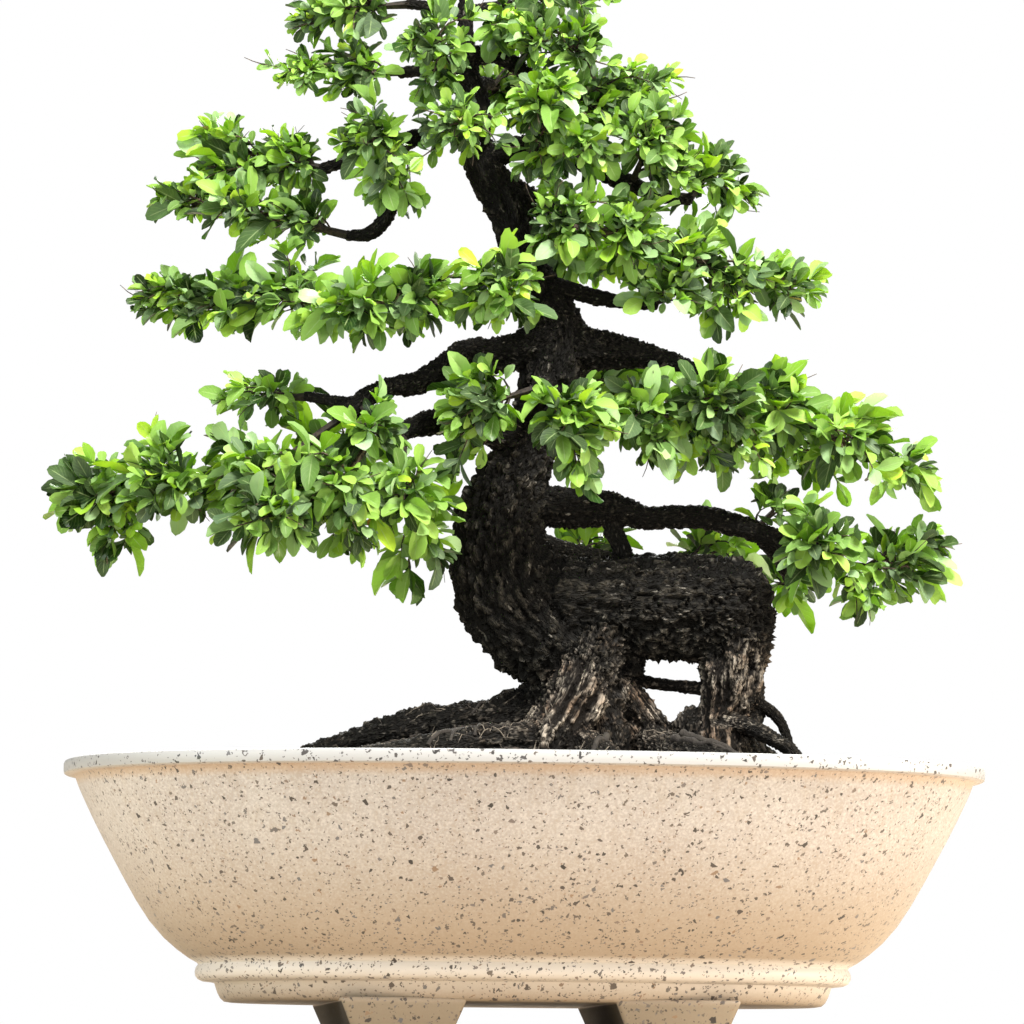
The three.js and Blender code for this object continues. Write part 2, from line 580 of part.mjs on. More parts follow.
// The shoots of a tuft with their leaves, clear of the beads of everything else
function tuftSolids(tuft, stem, outlook, random, others, own) {
  const [, , , halfWidth, halfHeight, shoots] = tuft;
  const middle = place(tuft);
  const distances = stem.map((bead) => bead.point.distanceTo(middle));
  const nearest = distances.indexOf(Math.min(...distances));
  const spread = new THREE.Vector3(halfWidth, halfWidth, halfHeight);
  const solids = [];
  const firstTurn = random() * 2 * Math.PI;
  for (let i = 0; i < shoots; i += 1) {
    const turn = firstTurn + (i + 0.4 * random()) / shoots * 2 * Math.PI;
    const rise = SHOOT_RISES[i % 2] + RISE_CHANGE * random();
    const outward = new THREE.Vector3(Math.cos(turn), Math.sin(turn) * SHOOT_DEPTH, rise);
    const tip = middle.clone().addScaledVector(outward.normalize().multiply(spread), SHOOT_REACH);
    const root = stem[Math.max(0, nearest - 1 - 2 * i)].point;
    const heading = tip.clone().sub(root).normalize();
    if (!clearOf([{ point: tip, radius: SHOOT_RADIUS }], others, TIP_ROOM)) {
      continue;
    }
    solids.push(shootSolid(root, tip));
    SHOOT_LEAVES.forEach(([share, side]) => {
      const base = root.clone().lerp(tip, share);
      solids.push(leafOn(base, heading, side, outlook, random, others, own));
    });
  }
  return solids;
}

// The leaves along a spray's stem, on one side and then the other
function stemLeaves(beads, outlook, random, others, own) {
  const solids = [];
  for (let i = 3; i < beads.length - 2; i += LEAF_EVERY_BEADS) {
    const heading = beads[i + 1].point.clone().sub(beads[i].point).normalize();
    const side = solids.length % 2 ? 1 : -1;
    solids.push(leafOn(beads[i].point, heading, side, outlook, random, others, own));
  }
  return solids;
}

// A three-sided shoot that runs from the stem to a point
function shootSolid(from, to) {
  const length = from.distanceTo(to);
  const geometry = new THREE.ConeGeometry(SHOOT_RADIUS, length, 3, 1);
  geometry.translate(0, length / 2, 0);
  const heading = to.clone().sub(from).normalize();
  const turn = new THREE.Quaternion().setFromUnitVectors(new THREE.Vector3(0, 1, 0), heading);
  geometry.applyQuaternion(turn);
  geometry.translate(from.x, from.y, from.z);
  return solidOf(geometry);
}

// All sprays, each clear of the wood and of the sprays made before it
function spraySolids(wood, grownWood) {
  const random = seededRandom(LEAF_SEED);
  const stems = SPRAYS.map((spray) => beadsAlong(stemStations(spray)).slice(2));
  const leaves = [];
  return SPRAYS.map((spray, number) => {
    const otherStems = stems.flatMap((beads, i) => (i === number ? [] : beads));
    const others = [...wood, ...otherStems, ...leaves];
    const outwards = spray.tufts[0][1] > BACK_FROM ? 1 : -1;
    const outlook = place([OUTLOOK[0], OUTLOOK[1] * outwards, OUTLOOK[2]]).sub(place([0, 0, 0]));
    const own = [];
    const parts = [
      limbSolid(stemStations(spray), STEM_SIDES, STEM_STEP, 0),
      ...spray.tufts.flatMap((tuft) => (
        tuftSolids(tuft, stems[number], outlook, random, others, own)
      )),
      ...stemLeaves(stems[number], outlook, random, others, own),
    ];
    leaves.push(...own);
    const whole = joined(parts.filter((part) => part !== null));
    return { name: spray.name, solid: mainBody(whole.subtract(grownWood)) };
  });
}

function mesh(name, solid, material) {
  const made = new THREE.Mesh(geometryOf(solid), material);
  made.name = name;
  return made;
}

const terrazzo = new THREE.MeshStandardMaterial({ color: 0xe3cfae, roughness: 0.55, metalness: 0 });
const earth = new THREE.MeshStandardMaterial({ color: 0x2b211a, roughness: 1, metalness: 0 });
const bark = new THREE.MeshStandardMaterial({ color: 0x2a221e, roughness: 0.95, metalness: 0 });
const foliage = new THREE.MeshStandardMaterial({ color: 0x5f9435, roughness: 0.45, metalness: 0 });

const wood = [...STOUT_LIMBS, ...ROOT_LIMBS, ...MIDDLE_LIMBS, ...THIN_LIMBS].flatMap(beadsAlong);
const grownTree = treeSolid(GAP);
const group = new THREE.Group();
group.add(mesh('pot', potSolid(), terrazzo));
group.add(mesh('soil', soilSolid(grownTree), earth));
group.add(mesh('tree', treeSolid(0), bark));
spraySolids(wood, grownTree).forEach(({ name, solid }) => {
  group.add(mesh(name, solid, foliage));
});

export default group;
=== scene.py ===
"""A broadleaf bonsai in an oval terrazzo pot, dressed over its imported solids. Metres, +Z up."""
import math
import random

import bpy
import numpy as np
from mathutils import Matrix, Vector, noise
from mathutils.bvhtree import BVHTree


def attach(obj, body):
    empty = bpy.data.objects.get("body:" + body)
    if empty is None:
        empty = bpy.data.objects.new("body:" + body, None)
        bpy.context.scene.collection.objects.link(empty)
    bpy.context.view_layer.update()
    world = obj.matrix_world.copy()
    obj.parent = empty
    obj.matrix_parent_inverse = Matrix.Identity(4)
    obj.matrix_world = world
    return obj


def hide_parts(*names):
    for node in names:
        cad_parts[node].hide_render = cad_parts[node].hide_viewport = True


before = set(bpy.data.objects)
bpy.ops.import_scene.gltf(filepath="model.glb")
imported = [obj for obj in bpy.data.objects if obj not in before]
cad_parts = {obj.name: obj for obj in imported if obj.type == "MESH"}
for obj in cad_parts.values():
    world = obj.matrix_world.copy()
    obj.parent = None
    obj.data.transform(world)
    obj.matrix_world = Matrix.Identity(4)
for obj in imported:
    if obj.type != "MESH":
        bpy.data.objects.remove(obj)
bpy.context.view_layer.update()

MM = 0.001

# Pot sizes in millimetres, as the solids have them
RIM_HALF_LENGTH = 401
RIM_HALF_DEPTH = 271
OVAL_POWER = 2.3
SOIL_EDGE_TOP = 237
SOIL_HALF_LENGTH = 367.7
FOOT_OFFSET = 118
FOOT_TOP_WIDTH = 110
FOOT_BOTTOM_WIDTH = 74
FOOT_TOP_LENGTH = 260
FOOT_BOTTOM_LENGTH = 236
BASE_BOTTOM = 40
FOOT_SUNK = 3
# How far the face of a foot leans out for each metre up
FOOT_LEAN = (FOOT_TOP_LENGTH - FOOT_BOTTOM_LENGTH) / 2 / (BASE_BOTTOM + FOOT_SUNK)
POT_SHIFT = 11.5
# How far the tree's middle line stands from the origin, and its lift above the drawn heights
TREE_SHIFT = 5
TREE_LIFT = 3

# The tree faces the viewer, and the pot's left end is turned this far towards the viewer.
VIEW_TURN = math.radians(7)

# The camera: how far off it stands, its height, what it looks at in view millimetres, and its roll
CAMERA_DISTANCE = 6800
CAMERA_HEIGHT = -106
CAMERA_AIM = (-6.5, 0, 466.5)
CAMERA_LENS = 274.8
CAMERA_ROLL = math.radians(0.42)

# Half-length and height of the pot's wall, from the underside's edge over the rim to the floor
POT_RINGS = [
    [256, 40], [260.5, 40.7], [263.6, 43.5], [266, 48], [267.6, 52.5], [268.4, 55.4], [269.2, 56.8],
    [273, 57.5], [279.5, 58.2], [283.4, 60], [285.4, 63], [285.9, 66.4], [285, 70],
    [283, 72.8], [284.4, 74.4], [291, 78], [301.5, 85.6], [313, 95.6], [325.5, 110], [337.3, 128],
    [347.8, 146.5], [357.6, 164.6], [367.2, 182.6], [376, 200], [382.6, 214], [388, 226],
    [390.6, 233.4], [393, 235.6], [399, 236.2], [400.6, 237.2], [401, 239.5], [401, 245.4],
    [400.2, 247.2], [398, 248], [376, 248], [373.4, 247], [372, 244], [368, 236], [340, 184],
    [302, 116], [262, 78],
]

# Limbs of the tree in millimetres as [across, deep, up, radius], seen by the viewer in front of it,
# as the solids have them
STOUT_LIMBS = [
    # Neck and trunk
    [[60, 0, 322, 30], [28, 0, 356, 45], [-4, 0, 392, 50], [-18, 0, 440, 41], [-10, 0, 482, 33],
     [4, 0, 513, 24], [14, 0, 545, 22], [26, 0, 590, 24], [33, 4, 622, 24], [22, 6, 655, 19],
     [3, 4, 685, 16], [-4, 0, 712, 18], [-14, -2, 738, 19], [-32, -4, 765, 16], [-42, -4, 795, 12],
     [-38, 0, 822, 10], [-47, 0, 850, 9], [-50, 0, 882, 7], [-50, 0, 918, 6], [-46, 0, 950, 4]],
    # Lying body
    [[18, 0, 386, 42], [70, 0, 384, 42], [115, 0, 384, 44], [160, 2, 384, 43], [192, 2, 383, 40],
     [213, 2, 376, 23]],
    # Left front leg
    [[72, -10, 368, 32], [58, -24, 325, 25], [42, -34, 290, 21], [27, -42, 262, 22],
     [18, -48, 232, 19], [14, -52, 205, 12]],
    # Right front leg
    [[82, 6, 362, 32], [82, 4, 336, 27], [81, 4, 318, 20], [90, 4, 303, 18], [102, 6, 287, 17],
     [115, 8, 270, 17], [126, 8, 244, 16], [132, 8, 210, 12]],
    # Rear leg
    [[190, 4, 385, 35], [187, 4, 345, 30], [183, 0, 310, 23], [177, -4, 285, 16],
     [178, -8, 262, 15], [180, -10, 232, 15], [182, -12, 205, 12]],
]
ROOT_LIMBS = [
    # Roots on the heap at the left: top, front and back
    [[40, 0, 308, 24], [5, 4, 291, 19], [-40, 4, 283, 17], [-85, 4, 280, 15], [-125, 2, 269, 14],
     [-165, 0, 254, 12], [-205, -4, 239, 9], [-235, -6, 222, 6]],
    [[30, -40, 262, 20], [-10, -56, 261, 16], [-55, -70, 256, 14], [-100, -84, 250, 12],
     [-145, -98, 241, 10], [-180, -108, 226, 7]],
    [[20, 30, 290, 20], [-30, 48, 275, 16], [-85, 66, 261, 14], [-135, 84, 249, 11],
     [-170, 96, 233, 8]],
    # Roots to the front right, the back right and the front
    [[118, -4, 262, 18], [140, -40, 255, 14], [165, -70, 249, 12], [190, -98, 241, 9],
     [205, -115, 226, 7]],
    [[182, 10, 266, 18], [205, 50, 256, 14], [228, 84, 248, 11], [248, 108, 239, 8],
     [258, 120, 224, 6]],
    [[60, -40, 256, 16], [72, -84, 249, 13], [80, -118, 243, 9], [86, -140, 228, 7]],
    # Root between the front legs
    [[66, 0, 335, 24], [72, -6, 304, 21], [78, -12, 276, 18], [78, -18, 248, 16], [76, -22, 222, 12]],
    # Knob by the rear leg
    [[156, 4, 225, 20], [152, 0, 262, 19], [151, -2, 282, 15], [154, 0, 296, 7]],
]
MIDDLE_LIMBS = [
    # Left low branch
    [[28, 0, 618, 22], [0, -2, 608, 17], [-22, -6, 604, 15], [-47, -14, 604, 12],
     [-66, -24, 590, 12], [-90, -34, 575, 10], [-114, -44, 571, 8.5], [-135, -54, 559, 9],
     [-158, -62, 538, 8]],
    # Second left branch
    [[8, -4, 528, 18], [-30, -16, 536, 12], [-58, -28, 541, 11], [-82, -40, 540, 11],
     [-106, -54, 530, 7]],
    # Right long branch
    [[26, 2, 640, 18], [50, 2, 612, 20], [80, 4, 609, 16], [104, 4, 606, 12], [124, 2, 602, 9],
     [150, -2, 591, 8], [166, -6, 580, 6]],
    # Right low branch
    [[-5, 6, 472, 20], [22, 6, 472, 18], [48, 8, 471, 18], [74, 8, 471, 16], [94, 8, 468, 12],
     [110, 8, 463, 10], [134, 10, 464, 10], [158, 10, 464, 10], [182, 8, 459, 10],
     [205, 4, 452, 9], [230, 0, 442, 8], [258, -4, 431, 7], [290, -8, 420, 5]],
    # Stub from that branch down to the back
    [[80, 8, 455, 9], [88, 6, 440, 8], [93, 4, 422, 9]],
    # Back low branch
    [[-8, 14, 455, 16], [12, 60, 447, 10], [48, 92, 438, 8], [92, 110, 433, 7],
     [138, 117, 431, 5]],
    # Left high branch with its loop
    [[-42, 0, 800, 11], [-70, -4, 799, 8], [-100, -8, 791, 8], [-123, -10, 772, 7],
     [-113, -12, 748, 7], [-117, -14, 726, 7], [-131, -16, 709, 6], [-154, -18, 706, 5]],
    # Right high branch
    [[-36, 0, 775, 13], [0, -6, 788, 9], [30, -8, 786, 8], [56, -8, 772, 8], [92, -8, 756, 8],
     [122, -6, 745, 6], [150, -4, 741, 5]],
    # Short branch above the middle right one
    [[-12, 0, 748, 14], [14, 2, 739, 10], [36, 2, 731, 8], [56, 2, 722, 6]],
]
THIN_LIMBS = [
    # Thin roots: across the gap under the body, two arches behind the rear leg, and beside it
    [[84, 8, 326, 6], [112, 6, 319, 5], [135, 4, 316, 5], [166, 2, 313, 6]],
    [[198, 0, 304, 6], [212, 2, 300, 5], [223, 4, 292, 5], [232, 6, 279, 4.5], [237, 8, 262, 4.5],
     [240, 8, 230, 4.5]],
    [[180, -14, 286, 8], [198, -18, 281, 7.5], [213, -20, 273, 7], [226, -20, 266, 6.5],
     [240, -18, 256, 6], [250, -16, 228, 5]],
    [[200, 12, 330, 12], [202, 14, 304, 13], [203, 6, 286, 11], [204, -6, 276, 8]],
    # Twig over the left low branch
    [[-142, -58, 554, 6], [-162, -50, 558, 5], [-188, -42, 563, 4.5]],
    # Short branches to the front in the middle
    [[20, -12, 572, 12], [18, -42, 572, 8], [16, -66, 568, 6]],
    [[0, -8, 690, 10], [-6, -32, 682, 7], [-12, -48, 672, 5]],
    [[-36, -6, 790, 9], [-34, -30, 796, 6], [-32, -50, 800, 5]],
    # Fork of the right low branch
    [[212, 4, 446, 7], [226, 22, 432, 6.5], [236, 44, 418, 6], [240, 66, 408, 5]],
    # Left middle branch
    [[15, 0, 655, 13], [-20, -8, 650, 9], [-60, -14, 648, 8], [-105, -18, 644, 7],
     [-150, -20, 641, 5.5]],
    # Right middle branch
    [[14, 2, 668, 12], [36, -4, 663, 8], [64, -8, 655, 7], [92, -12, 650, 6], [120, -16, 648, 5]],
    # Left high branch's outer arm
    [[-98, -6, 792, 7], [-138, -4, 778, 6], [-178, 0, 766, 5]],
    # Top branches to the right and to the left
    [[-46, 0, 868, 9], [-24, -2, 868, 7], [0, -4, 855, 7], [14, -4, 842, 6], [34, -6, 832, 5]],
    [[-46, 0, 854, 8], [-72, -2, 855, 6], [-110, -4, 852, 5]],
    [[-50, 0, 902, 6], [-78, 0, 910, 5], [-104, 0, 914, 4.5]],
    [[-50, 0, 906, 6], [-26, 2, 912, 5], [-4, 2, 914, 4.5]],
    # Branches to the back
    [[28, 8, 620, 14], [42, 56, 612, 9], [60, 92, 598, 6]],
    [[-6, 6, 716, 12], [10, 44, 716, 8], [26, 76, 712, 6]],
    [[-46, 4, 838, 8], [-38, 34, 848, 6], [-28, 60, 852, 5]],
]
# Sprays: name, where each starts, and its tufts as [across, deep, up, half-width, half-height]
SPRAYS = [
    ("spray_left_low_tip", [-156, -61, 540],
    [[-232, -70, 490, 44, 44], [-308, -62, 483, 46, 42], [-366, -52, 470, 42, 34]]),
    ("spray_left_low_front", [-138, -55, 557],
    [[-128, -90, 526, 32, 24], [-166, -124, 470, 42, 44], [-212, -150, 450, 40, 34]]),
    ("spray_left_low_inner", [-102, -52, 532],
    [[-98, -92, 472, 34, 40], [-84, -70, 430, 30, 30]]),
    ("spray_left_low_upper", [-184, -43, 562],
    [[-226, -26, 562, 46, 20]]),
    ("spray_left_low_back", [-106, -41, 572],
    [[-168, 34, 514, 44, 34], [-246, 44, 492, 42, 30]]),
    ("spray_centre_left", [17, -58, 570],
    [[-34, -84, 552, 38, 42]]),
    ("spray_centre_right", [16, -63, 568],
    [[42, -110, 536, 38, 42]]),
    ("spray_right_long_inner", [128, 1, 601],
    [[108, -62, 544, 38, 38], [170, -72, 556, 38, 40]]),
    ("spray_right_long_tip", [162, -5, 583],
    [[226, -22, 552, 40, 42], [284, -22, 526, 38, 36], [336, -20, 502, 30, 24]]),
    ("spray_right_long_back", [108, 4, 606],
    [[184, 66, 556, 42, 34], [250, 66, 524, 38, 30]]),
    ("spray_right_low_tip", [286, -8, 421],
    [[330, -12, 419, 40, 30]]),
    ("spray_right_low_inner", [246, -2, 434],
    [[258, -52, 432, 36, 34]]),
    ("spray_right_low_upper", [206, 4, 452],
    [[224, -10, 472, 22, 10]]),
    ("spray_back_low_left", [52, 93, 437],
    [[58, 140, 444, 40, 26]]),
    ("spray_back_low_right", [132, 116, 431],
    [[170, 138, 442, 44, 26]]),
    ("spray_fork", [239, 60, 410],
    [[236, 104, 412, 30, 28]]),
    ("spray_left_middle_tip", [-146, -20, 641],
    [[-206, -30, 650, 42, 34], [-258, -26, 644, 38, 32], [-298, -20, 648, 30, 24]]),
    ("spray_left_middle_front", [-112, -18, 644],
    [[-140, -80, 636, 40, 32], [-84, -82, 648, 36, 32]]),
    ("spray_left_middle_back", [-84, -16, 646],
    [[-128, 50, 648, 46, 30]]),
    ("spray_middle_front", [-11, -46, 673],
    [[-18, -88, 652, 34, 40]]),
    ("spray_right_middle_inner", [50, 2, 725],
    [[38, -54, 714, 36, 44], [98, -46, 700, 38, 42]]),
    ("spray_right_middle_tip", [116, -16, 648],
    [[150, -20, 686, 38, 32], [200, -20, 668, 36, 28], [236, -18, 662, 28, 22]]),
    ("spray_right_middle_back", [53, 2, 723],
    [[118, 66, 694, 44, 30]]),
    ("spray_left_high_low", [-150, -18, 706],
    [[-196, -24, 716, 36, 24], [-250, -26, 728, 38, 26], [-296, -20, 734, 28, 18]]),
    ("spray_left_high_tip", [-174, 0, 767],
    [[-206, -6, 772, 36, 32], [-256, -4, 762, 38, 32]]),
    ("spray_left_high_inner", [-108, -7, 788],
    [[-130, -56, 784, 40, 32]]),
    ("spray_right_high_tip", [146, -4, 742],
    [[164, -2, 762, 32, 26], [188, 4, 744, 24, 16]]),
    ("spray_right_high_inner", [96, -8, 754],
    [[112, -56, 790, 38, 34]]),
    ("spray_high_front", [-32, -48, 800],
    [[-58, -84, 792, 38, 30]]),
    ("spray_top_right", [30, -6, 834],
    [[68, 0, 824, 38, 32], [46, -30, 870, 32, 26], [6, -34, 880, 30, 22]]),
    ("spray_top_right_front", [11, -4, 845],
    [[20, -62, 812, 36, 32], [54, -64, 776, 32, 24]]),
    ("spray_top_left", [-104, -4, 853],
    [[-146, -8, 850, 36, 26], [-194, -8, 852, 28, 16]]),
    ("spray_top_front", [-58, -1, 855],
    [[-78, -62, 868, 38, 28]]),
    ("spray_crown_left", [-99, 0, 913],
    [[-150, -6, 908, 40, 32]]),
    ("spray_crown_right", [-9, 2, 914],
    [[28, -4, 924, 42, 30]]),
    ("spray_crown_top", [-46, 0, 944],
    [[-62, -2, 968, 44, 30]]),
    ("spray_back_low", [58, 88, 599],
    [[74, 138, 584, 48, 34]]),
    ("spray_back_middle", [24, 72, 712],
    [[44, 126, 704, 50, 32]]),
    ("spray_back_high", [-30, 56, 851],
    [[-22, 104, 850, 48, 34]]),
]


def place(point):
    """A point of the tree, from view millimetres to metres in the part's frame."""
    across, deep, up = point[:3]
    turned = Matrix.Rotation(-VIEW_TURN, 3, "Z") @ Vector((across, deep, up))
    return Vector((turned.x + TREE_SHIFT, turned.y, turned.z + TREE_LIFT)) * MM


def line_through(points, spacing):
    """Points of a smooth line through the given points, and how far along these each one is."""
    ends = [2 * points[0] - points[1], *points, 2 * points[-1] - points[-2]]
    samples = []
    for i in range(len(points) - 1):
        before, start, end, after = ends[i:i + 4]
        first = max((start - before).length, 1e-9) ** 0.5
        middle = max((end - start).length, 1e-9) ** 0.5
        last = max((after - end).length, 1e-9) ** 0.5
        chord = (end - start) / middle
        leave = (start - before) / first - (end - before) / (first + middle) + chord
        reach = chord - (after - start) / (middle + last) + (after - end) / last
        leave, reach = leave * middle, reach * middle
        steps = max(1, math.ceil((end - start).length / spacing))
        for step in range(steps):
            share = step / steps
            bent = (2 * start - 2 * end + leave + reach) * share ** 3
            bent += (3 * end - 3 * start - 2 * leave - reach) * share ** 2
            samples.append((start + leave * share + bent, i + share))
    samples.append((points[-1], len(points) - 1))
    return samples


def limb_line(stations, spacing, grow=0.0):
    """A limb as points in metres, each with its radius."""
    line = []
    for point, along in line_through([place(station) for station in stations], spacing):
        before = min(int(along), len(stations) - 2)
        share = along - before
        radius = stations[before][3] * (1 - share) + stations[before + 1][3] * share
        line.append((point, radius * MM + grow))
    return line


def framed(line):
    """For each point of a line its radius, its heading and two sides that don't twist."""
    frames = []
    side = None
    for i, (point, radius) in enumerate(line):
        heading = (line[min(i + 1, len(line) - 1)][0] - line[max(i - 1, 0)][0]).normalized()
        side = heading.orthogonal() if side is None else side
        side = (side - heading * side.dot(heading)).normalized()
        frames.append((point, radius, heading, side, heading.cross(side)))
    return frames


def strands(stations, count, first, splay):
    """Root strands that run down around a leg and splay at its foot."""
    frames = framed(limb_line(stations, 0.012))
    lines = []
    for number in range(count):
        draws = random.Random(17 * number + count)
        turn = first + math.tau * number / count + draws.uniform(-0.2, 0.2)
        twist = draws.uniform(-0.5, 0.5)
        thick = draws.uniform(0.24, 0.42)
        line = []
        for i, (point, radius, _, side, other) in enumerate(frames):
            share = i / (len(frames) - 1)
            angle = turn + twist * share
            out = side * math.cos(angle) + other * math.sin(angle)
            bulge = 0.34 + 0.52 * min(1, share / 0.35) + splay * max(0, share - 0.55) ** 1.5
            wave = 0.10 * math.sin(9 * share + 2.1 * number)
            line.append((
                point + out * radius * (bulge + wave),
                radius * thick * (1 - 0.2 * share) + 0.0012))
        lines.append(line)
    return lines


def select_only(*pieces):
    for thing in bpy.context.selected_objects:
        thing.select_set(False)
    for piece in pieces:
        piece.select_set(True)
    bpy.context.view_layer.objects.active = pieces[0] if pieces else None


def apply_modifier(piece, kind, **settings):
    select_only(piece)
    modifier = piece.modifiers.new(kind.lower(), kind)
    for name, value in settings.items():
        setattr(modifier, name, value)
    bpy.ops.object.modifier_apply(modifier=modifier.name)


def named(piece, name):
    piece.name = name
    piece.data.name = name
    return piece


def smooth_by_angle(piece, degrees):
    select_only(piece)
    bpy.ops.object.shade_smooth_by_angle(angle=math.radians(degrees))


def edit_outwards(piece, weld=1e-5):
    """Welds a mesh's doubled points and turns its faces out."""
    select_only(piece)
    bpy.ops.object.mode_set(mode="EDIT")
    bpy.ops.mesh.select_all(action="SELECT")
    bpy.ops.mesh.remove_doubles(threshold=weld)
    bpy.ops.mesh.normals_make_consistent(inside=False)
    bpy.ops.object.mode_set(mode="OBJECT")


def add_float(mesh, name, values):
    attribute = mesh.attributes.get(name) or mesh.attributes.new(name, "FLOAT", "POINT")
    attribute.data.foreach_set("value", np.asarray(values, np.float32))


def add_vector(mesh, name, values):
    attribute = mesh.attributes.new(name, "FLOAT_VECTOR", "POINT")
    attribute.data.foreach_set("vector", np.asarray(values, np.float32).ravel())


def vertex_places(mesh):
    places = np.zeros(len(mesh.vertices) * 3, np.float32)
    mesh.vertices.foreach_get("co", places)
    return places.reshape(-1, 3)


def tubes(name, lines, roundness):
    """Round tubes along lines of (point, radius), closed at their ends, as one mesh."""
    bpy.ops.curve.primitive_nurbs_path_add()
    piece = bpy.context.object
    curve = piece.data
    curve.splines.clear()
    piece.location = (0, 0, 0)
    curve.dimensions = "3D"
    curve.bevel_depth = 1.0
    curve.bevel_resolution = roundness
    curve.use_fill_caps = True
    for line in lines:
        spline = curve.splines.new("POLY")
        spline.points.add(len(line) - 1)
        for point, (place_of, radius) in zip(spline.points, line):
            point.co = (*place_of, 1)
            point.radius = radius
    select_only(piece)
    bpy.ops.object.convert(target="MESH")
    piece = named(bpy.context.object, name)
    edit_outwards(piece)
    return piece


class Level:
    """A number, colour or vector that runs through a material, with arithmetic on numbers."""

    def __init__(self, finish, socket):
        self.finish = finish
        self.socket = socket

    def maths(self, operation, *terms, clamp=False):
        inputs = dict(enumerate(terms))
        return self.finish.node(
            "ShaderNodeMath", {"operation": operation, "use_clamp": clamp}, inputs)

    def __add__(self, other):
        return self.maths("ADD", self, other)

    def __sub__(self, other):
        return self.maths("SUBTRACT", self, other)

    def __mul__(self, other):
        return self.maths("MULTIPLY", self, other)

    def __rsub__(self, other):
        return self.maths("SUBTRACT", other, self)

    def __lt__(self, other):
        return self.maths("LESS_THAN", self, other)

    def __gt__(self, other):
        return self.maths("GREATER_THAN", self, other)

    def __abs__(self):
        return self.maths("ABSOLUTE", self)

    __radd__ = __add__
    __rmul__ = __mul__

    def clamped(self):
        return self.maths("ADD", self, 0, clamp=True)

    def sine(self):
        return self.maths("SINE", self)

    def larger(self, other):
        return self.maths("MAXIMUM", self, other)

    def step(self, low, high, smooth=True):
        """0 below low and 1 above high, or the other way round where low is above high."""
        kind = "SMOOTHSTEP" if smooth else "LINEAR"
        return self.finish.node(
            "ShaderNodeMapRange", {"interpolation_type": kind},
            {"Value": self, "From Min": low, "From Max": high, "To Min": 0, "To Max": 1})


class Finish:
    """A material that is put together from nodes."""

    def __init__(self, name):
        self.material = bpy.data.materials.new(name)
        self.material.use_nodes = True
        self.tree = self.material.node_tree
        self.tree.nodes.clear()

    def node(self, kind, settings=None, inputs=None, output=0):
        made = self.tree.nodes.new(kind)
        settings = dict(settings or {})
        stops = settings.pop("stops", None)
        for name, value in settings.items():
            setattr(made, name, value)
        if stops:
            ramp = made.color_ramp.elements
            while len(ramp) < len(stops):
                ramp.new(0.5)
            for element, (position, colour) in zip(ramp, stops):
                element.position = position
                element.color = (*colour, 1)
        for name, value in (inputs or {}).items():
            self.feed(made.inputs[name], value)
        return Level(self, made.outputs[output])

    def feed(self, socket, value):
        if isinstance(value, Level):
            self.tree.links.new(value.socket, socket)
        elif isinstance(value, tuple) and socket.type == "RGBA":
            socket.default_value = (*value, 1)
        else:
            socket.default_value = value

    def place(self):
        return self.node("ShaderNodeTexCoord", output="Object")

    def attribute(self, name, output="Fac"):
        return self.node("ShaderNodeAttribute", {"attribute_name": name}, output=output)

    def scaled(self, vector, factors):
        return self.node(
            "ShaderNodeVectorMath", {"operation": "MULTIPLY"}, {0: vector, 1: factors})

    def moved(self, vector, offset):
        return self.node("ShaderNodeVectorMath", {"operation": "ADD"}, {0: vector, 1: offset})

    def parts(self, vector):
        split = self.node("ShaderNodeSeparateXYZ", inputs={0: vector}).socket.node
        return [Level(self, output) for output in split.outputs]

    def channels(self, colour):
        split = self.node("ShaderNodeSeparateColor", inputs={0: colour}).socket.node
        return [Level(self, output) for output in split.outputs]

    def grain(self, vector, scale, detail=2, roughness=0.5):
        return self.node(
            "ShaderNodeTexNoise", inputs={
                "Vector": vector, "Scale": scale, "Detail": detail, "Roughness": roughness})

    def cells(self, vector, scale, feature="F1", output="Distance"):
        return self.node(
            "ShaderNodeTexVoronoi", {"feature": feature},
            {"Vector": vector, "Scale": scale}, output)

    def mix(self, factor, low, high):
        """From colour low to colour high."""
        return self.node(
            "ShaderNodeMix", {"data_type": "RGBA"}, {0: factor, 6: low, 7: high}, 2)

    def ramp(self, factor, stops):
        return self.node("ShaderNodeValToRGB", {"stops": stops}, {0: factor})

    def bump(self, height, strength, distance):
        return self.node(
            "ShaderNodeBump",
            inputs={"Height": height, "Strength": strength, "Distance": distance})

    def surface(self, **inputs):
        return self.node("ShaderNodeBsdfPrincipled", inputs={
            name.replace("_", " "): value for name, value in inputs.items()})

    def done(self, shader):
        output = self.tree.nodes.new("ShaderNodeOutputMaterial")
        self.tree.links.new(shader.socket, output.inputs["Surface"])
        return self.material


def wear(piece, material):
    piece.data.materials.clear()
    piece.data.materials.append(material)


# Heights on the pot in metres: from low to high where each mark begins and is full. All but the
# speckles mark painted shade or painted light
SHADED_WALL = (0.20, 0.08)
SPECKLED_WALL = (0.16, 0.07)
SHADE_BELOW_RIM = (0.224, 0.233)
RIM_STEP = (0.2366, 0.2352)
RIM_FACE = (0.2352, 0.2375)
LEDGE_TOP = (0.080, 0.074)
LEDGE_BOTTOM = (0.040, 0.064)
UNDERSIDE = (0.044, 0.036)
FEET = (0.0405, 0.0385)
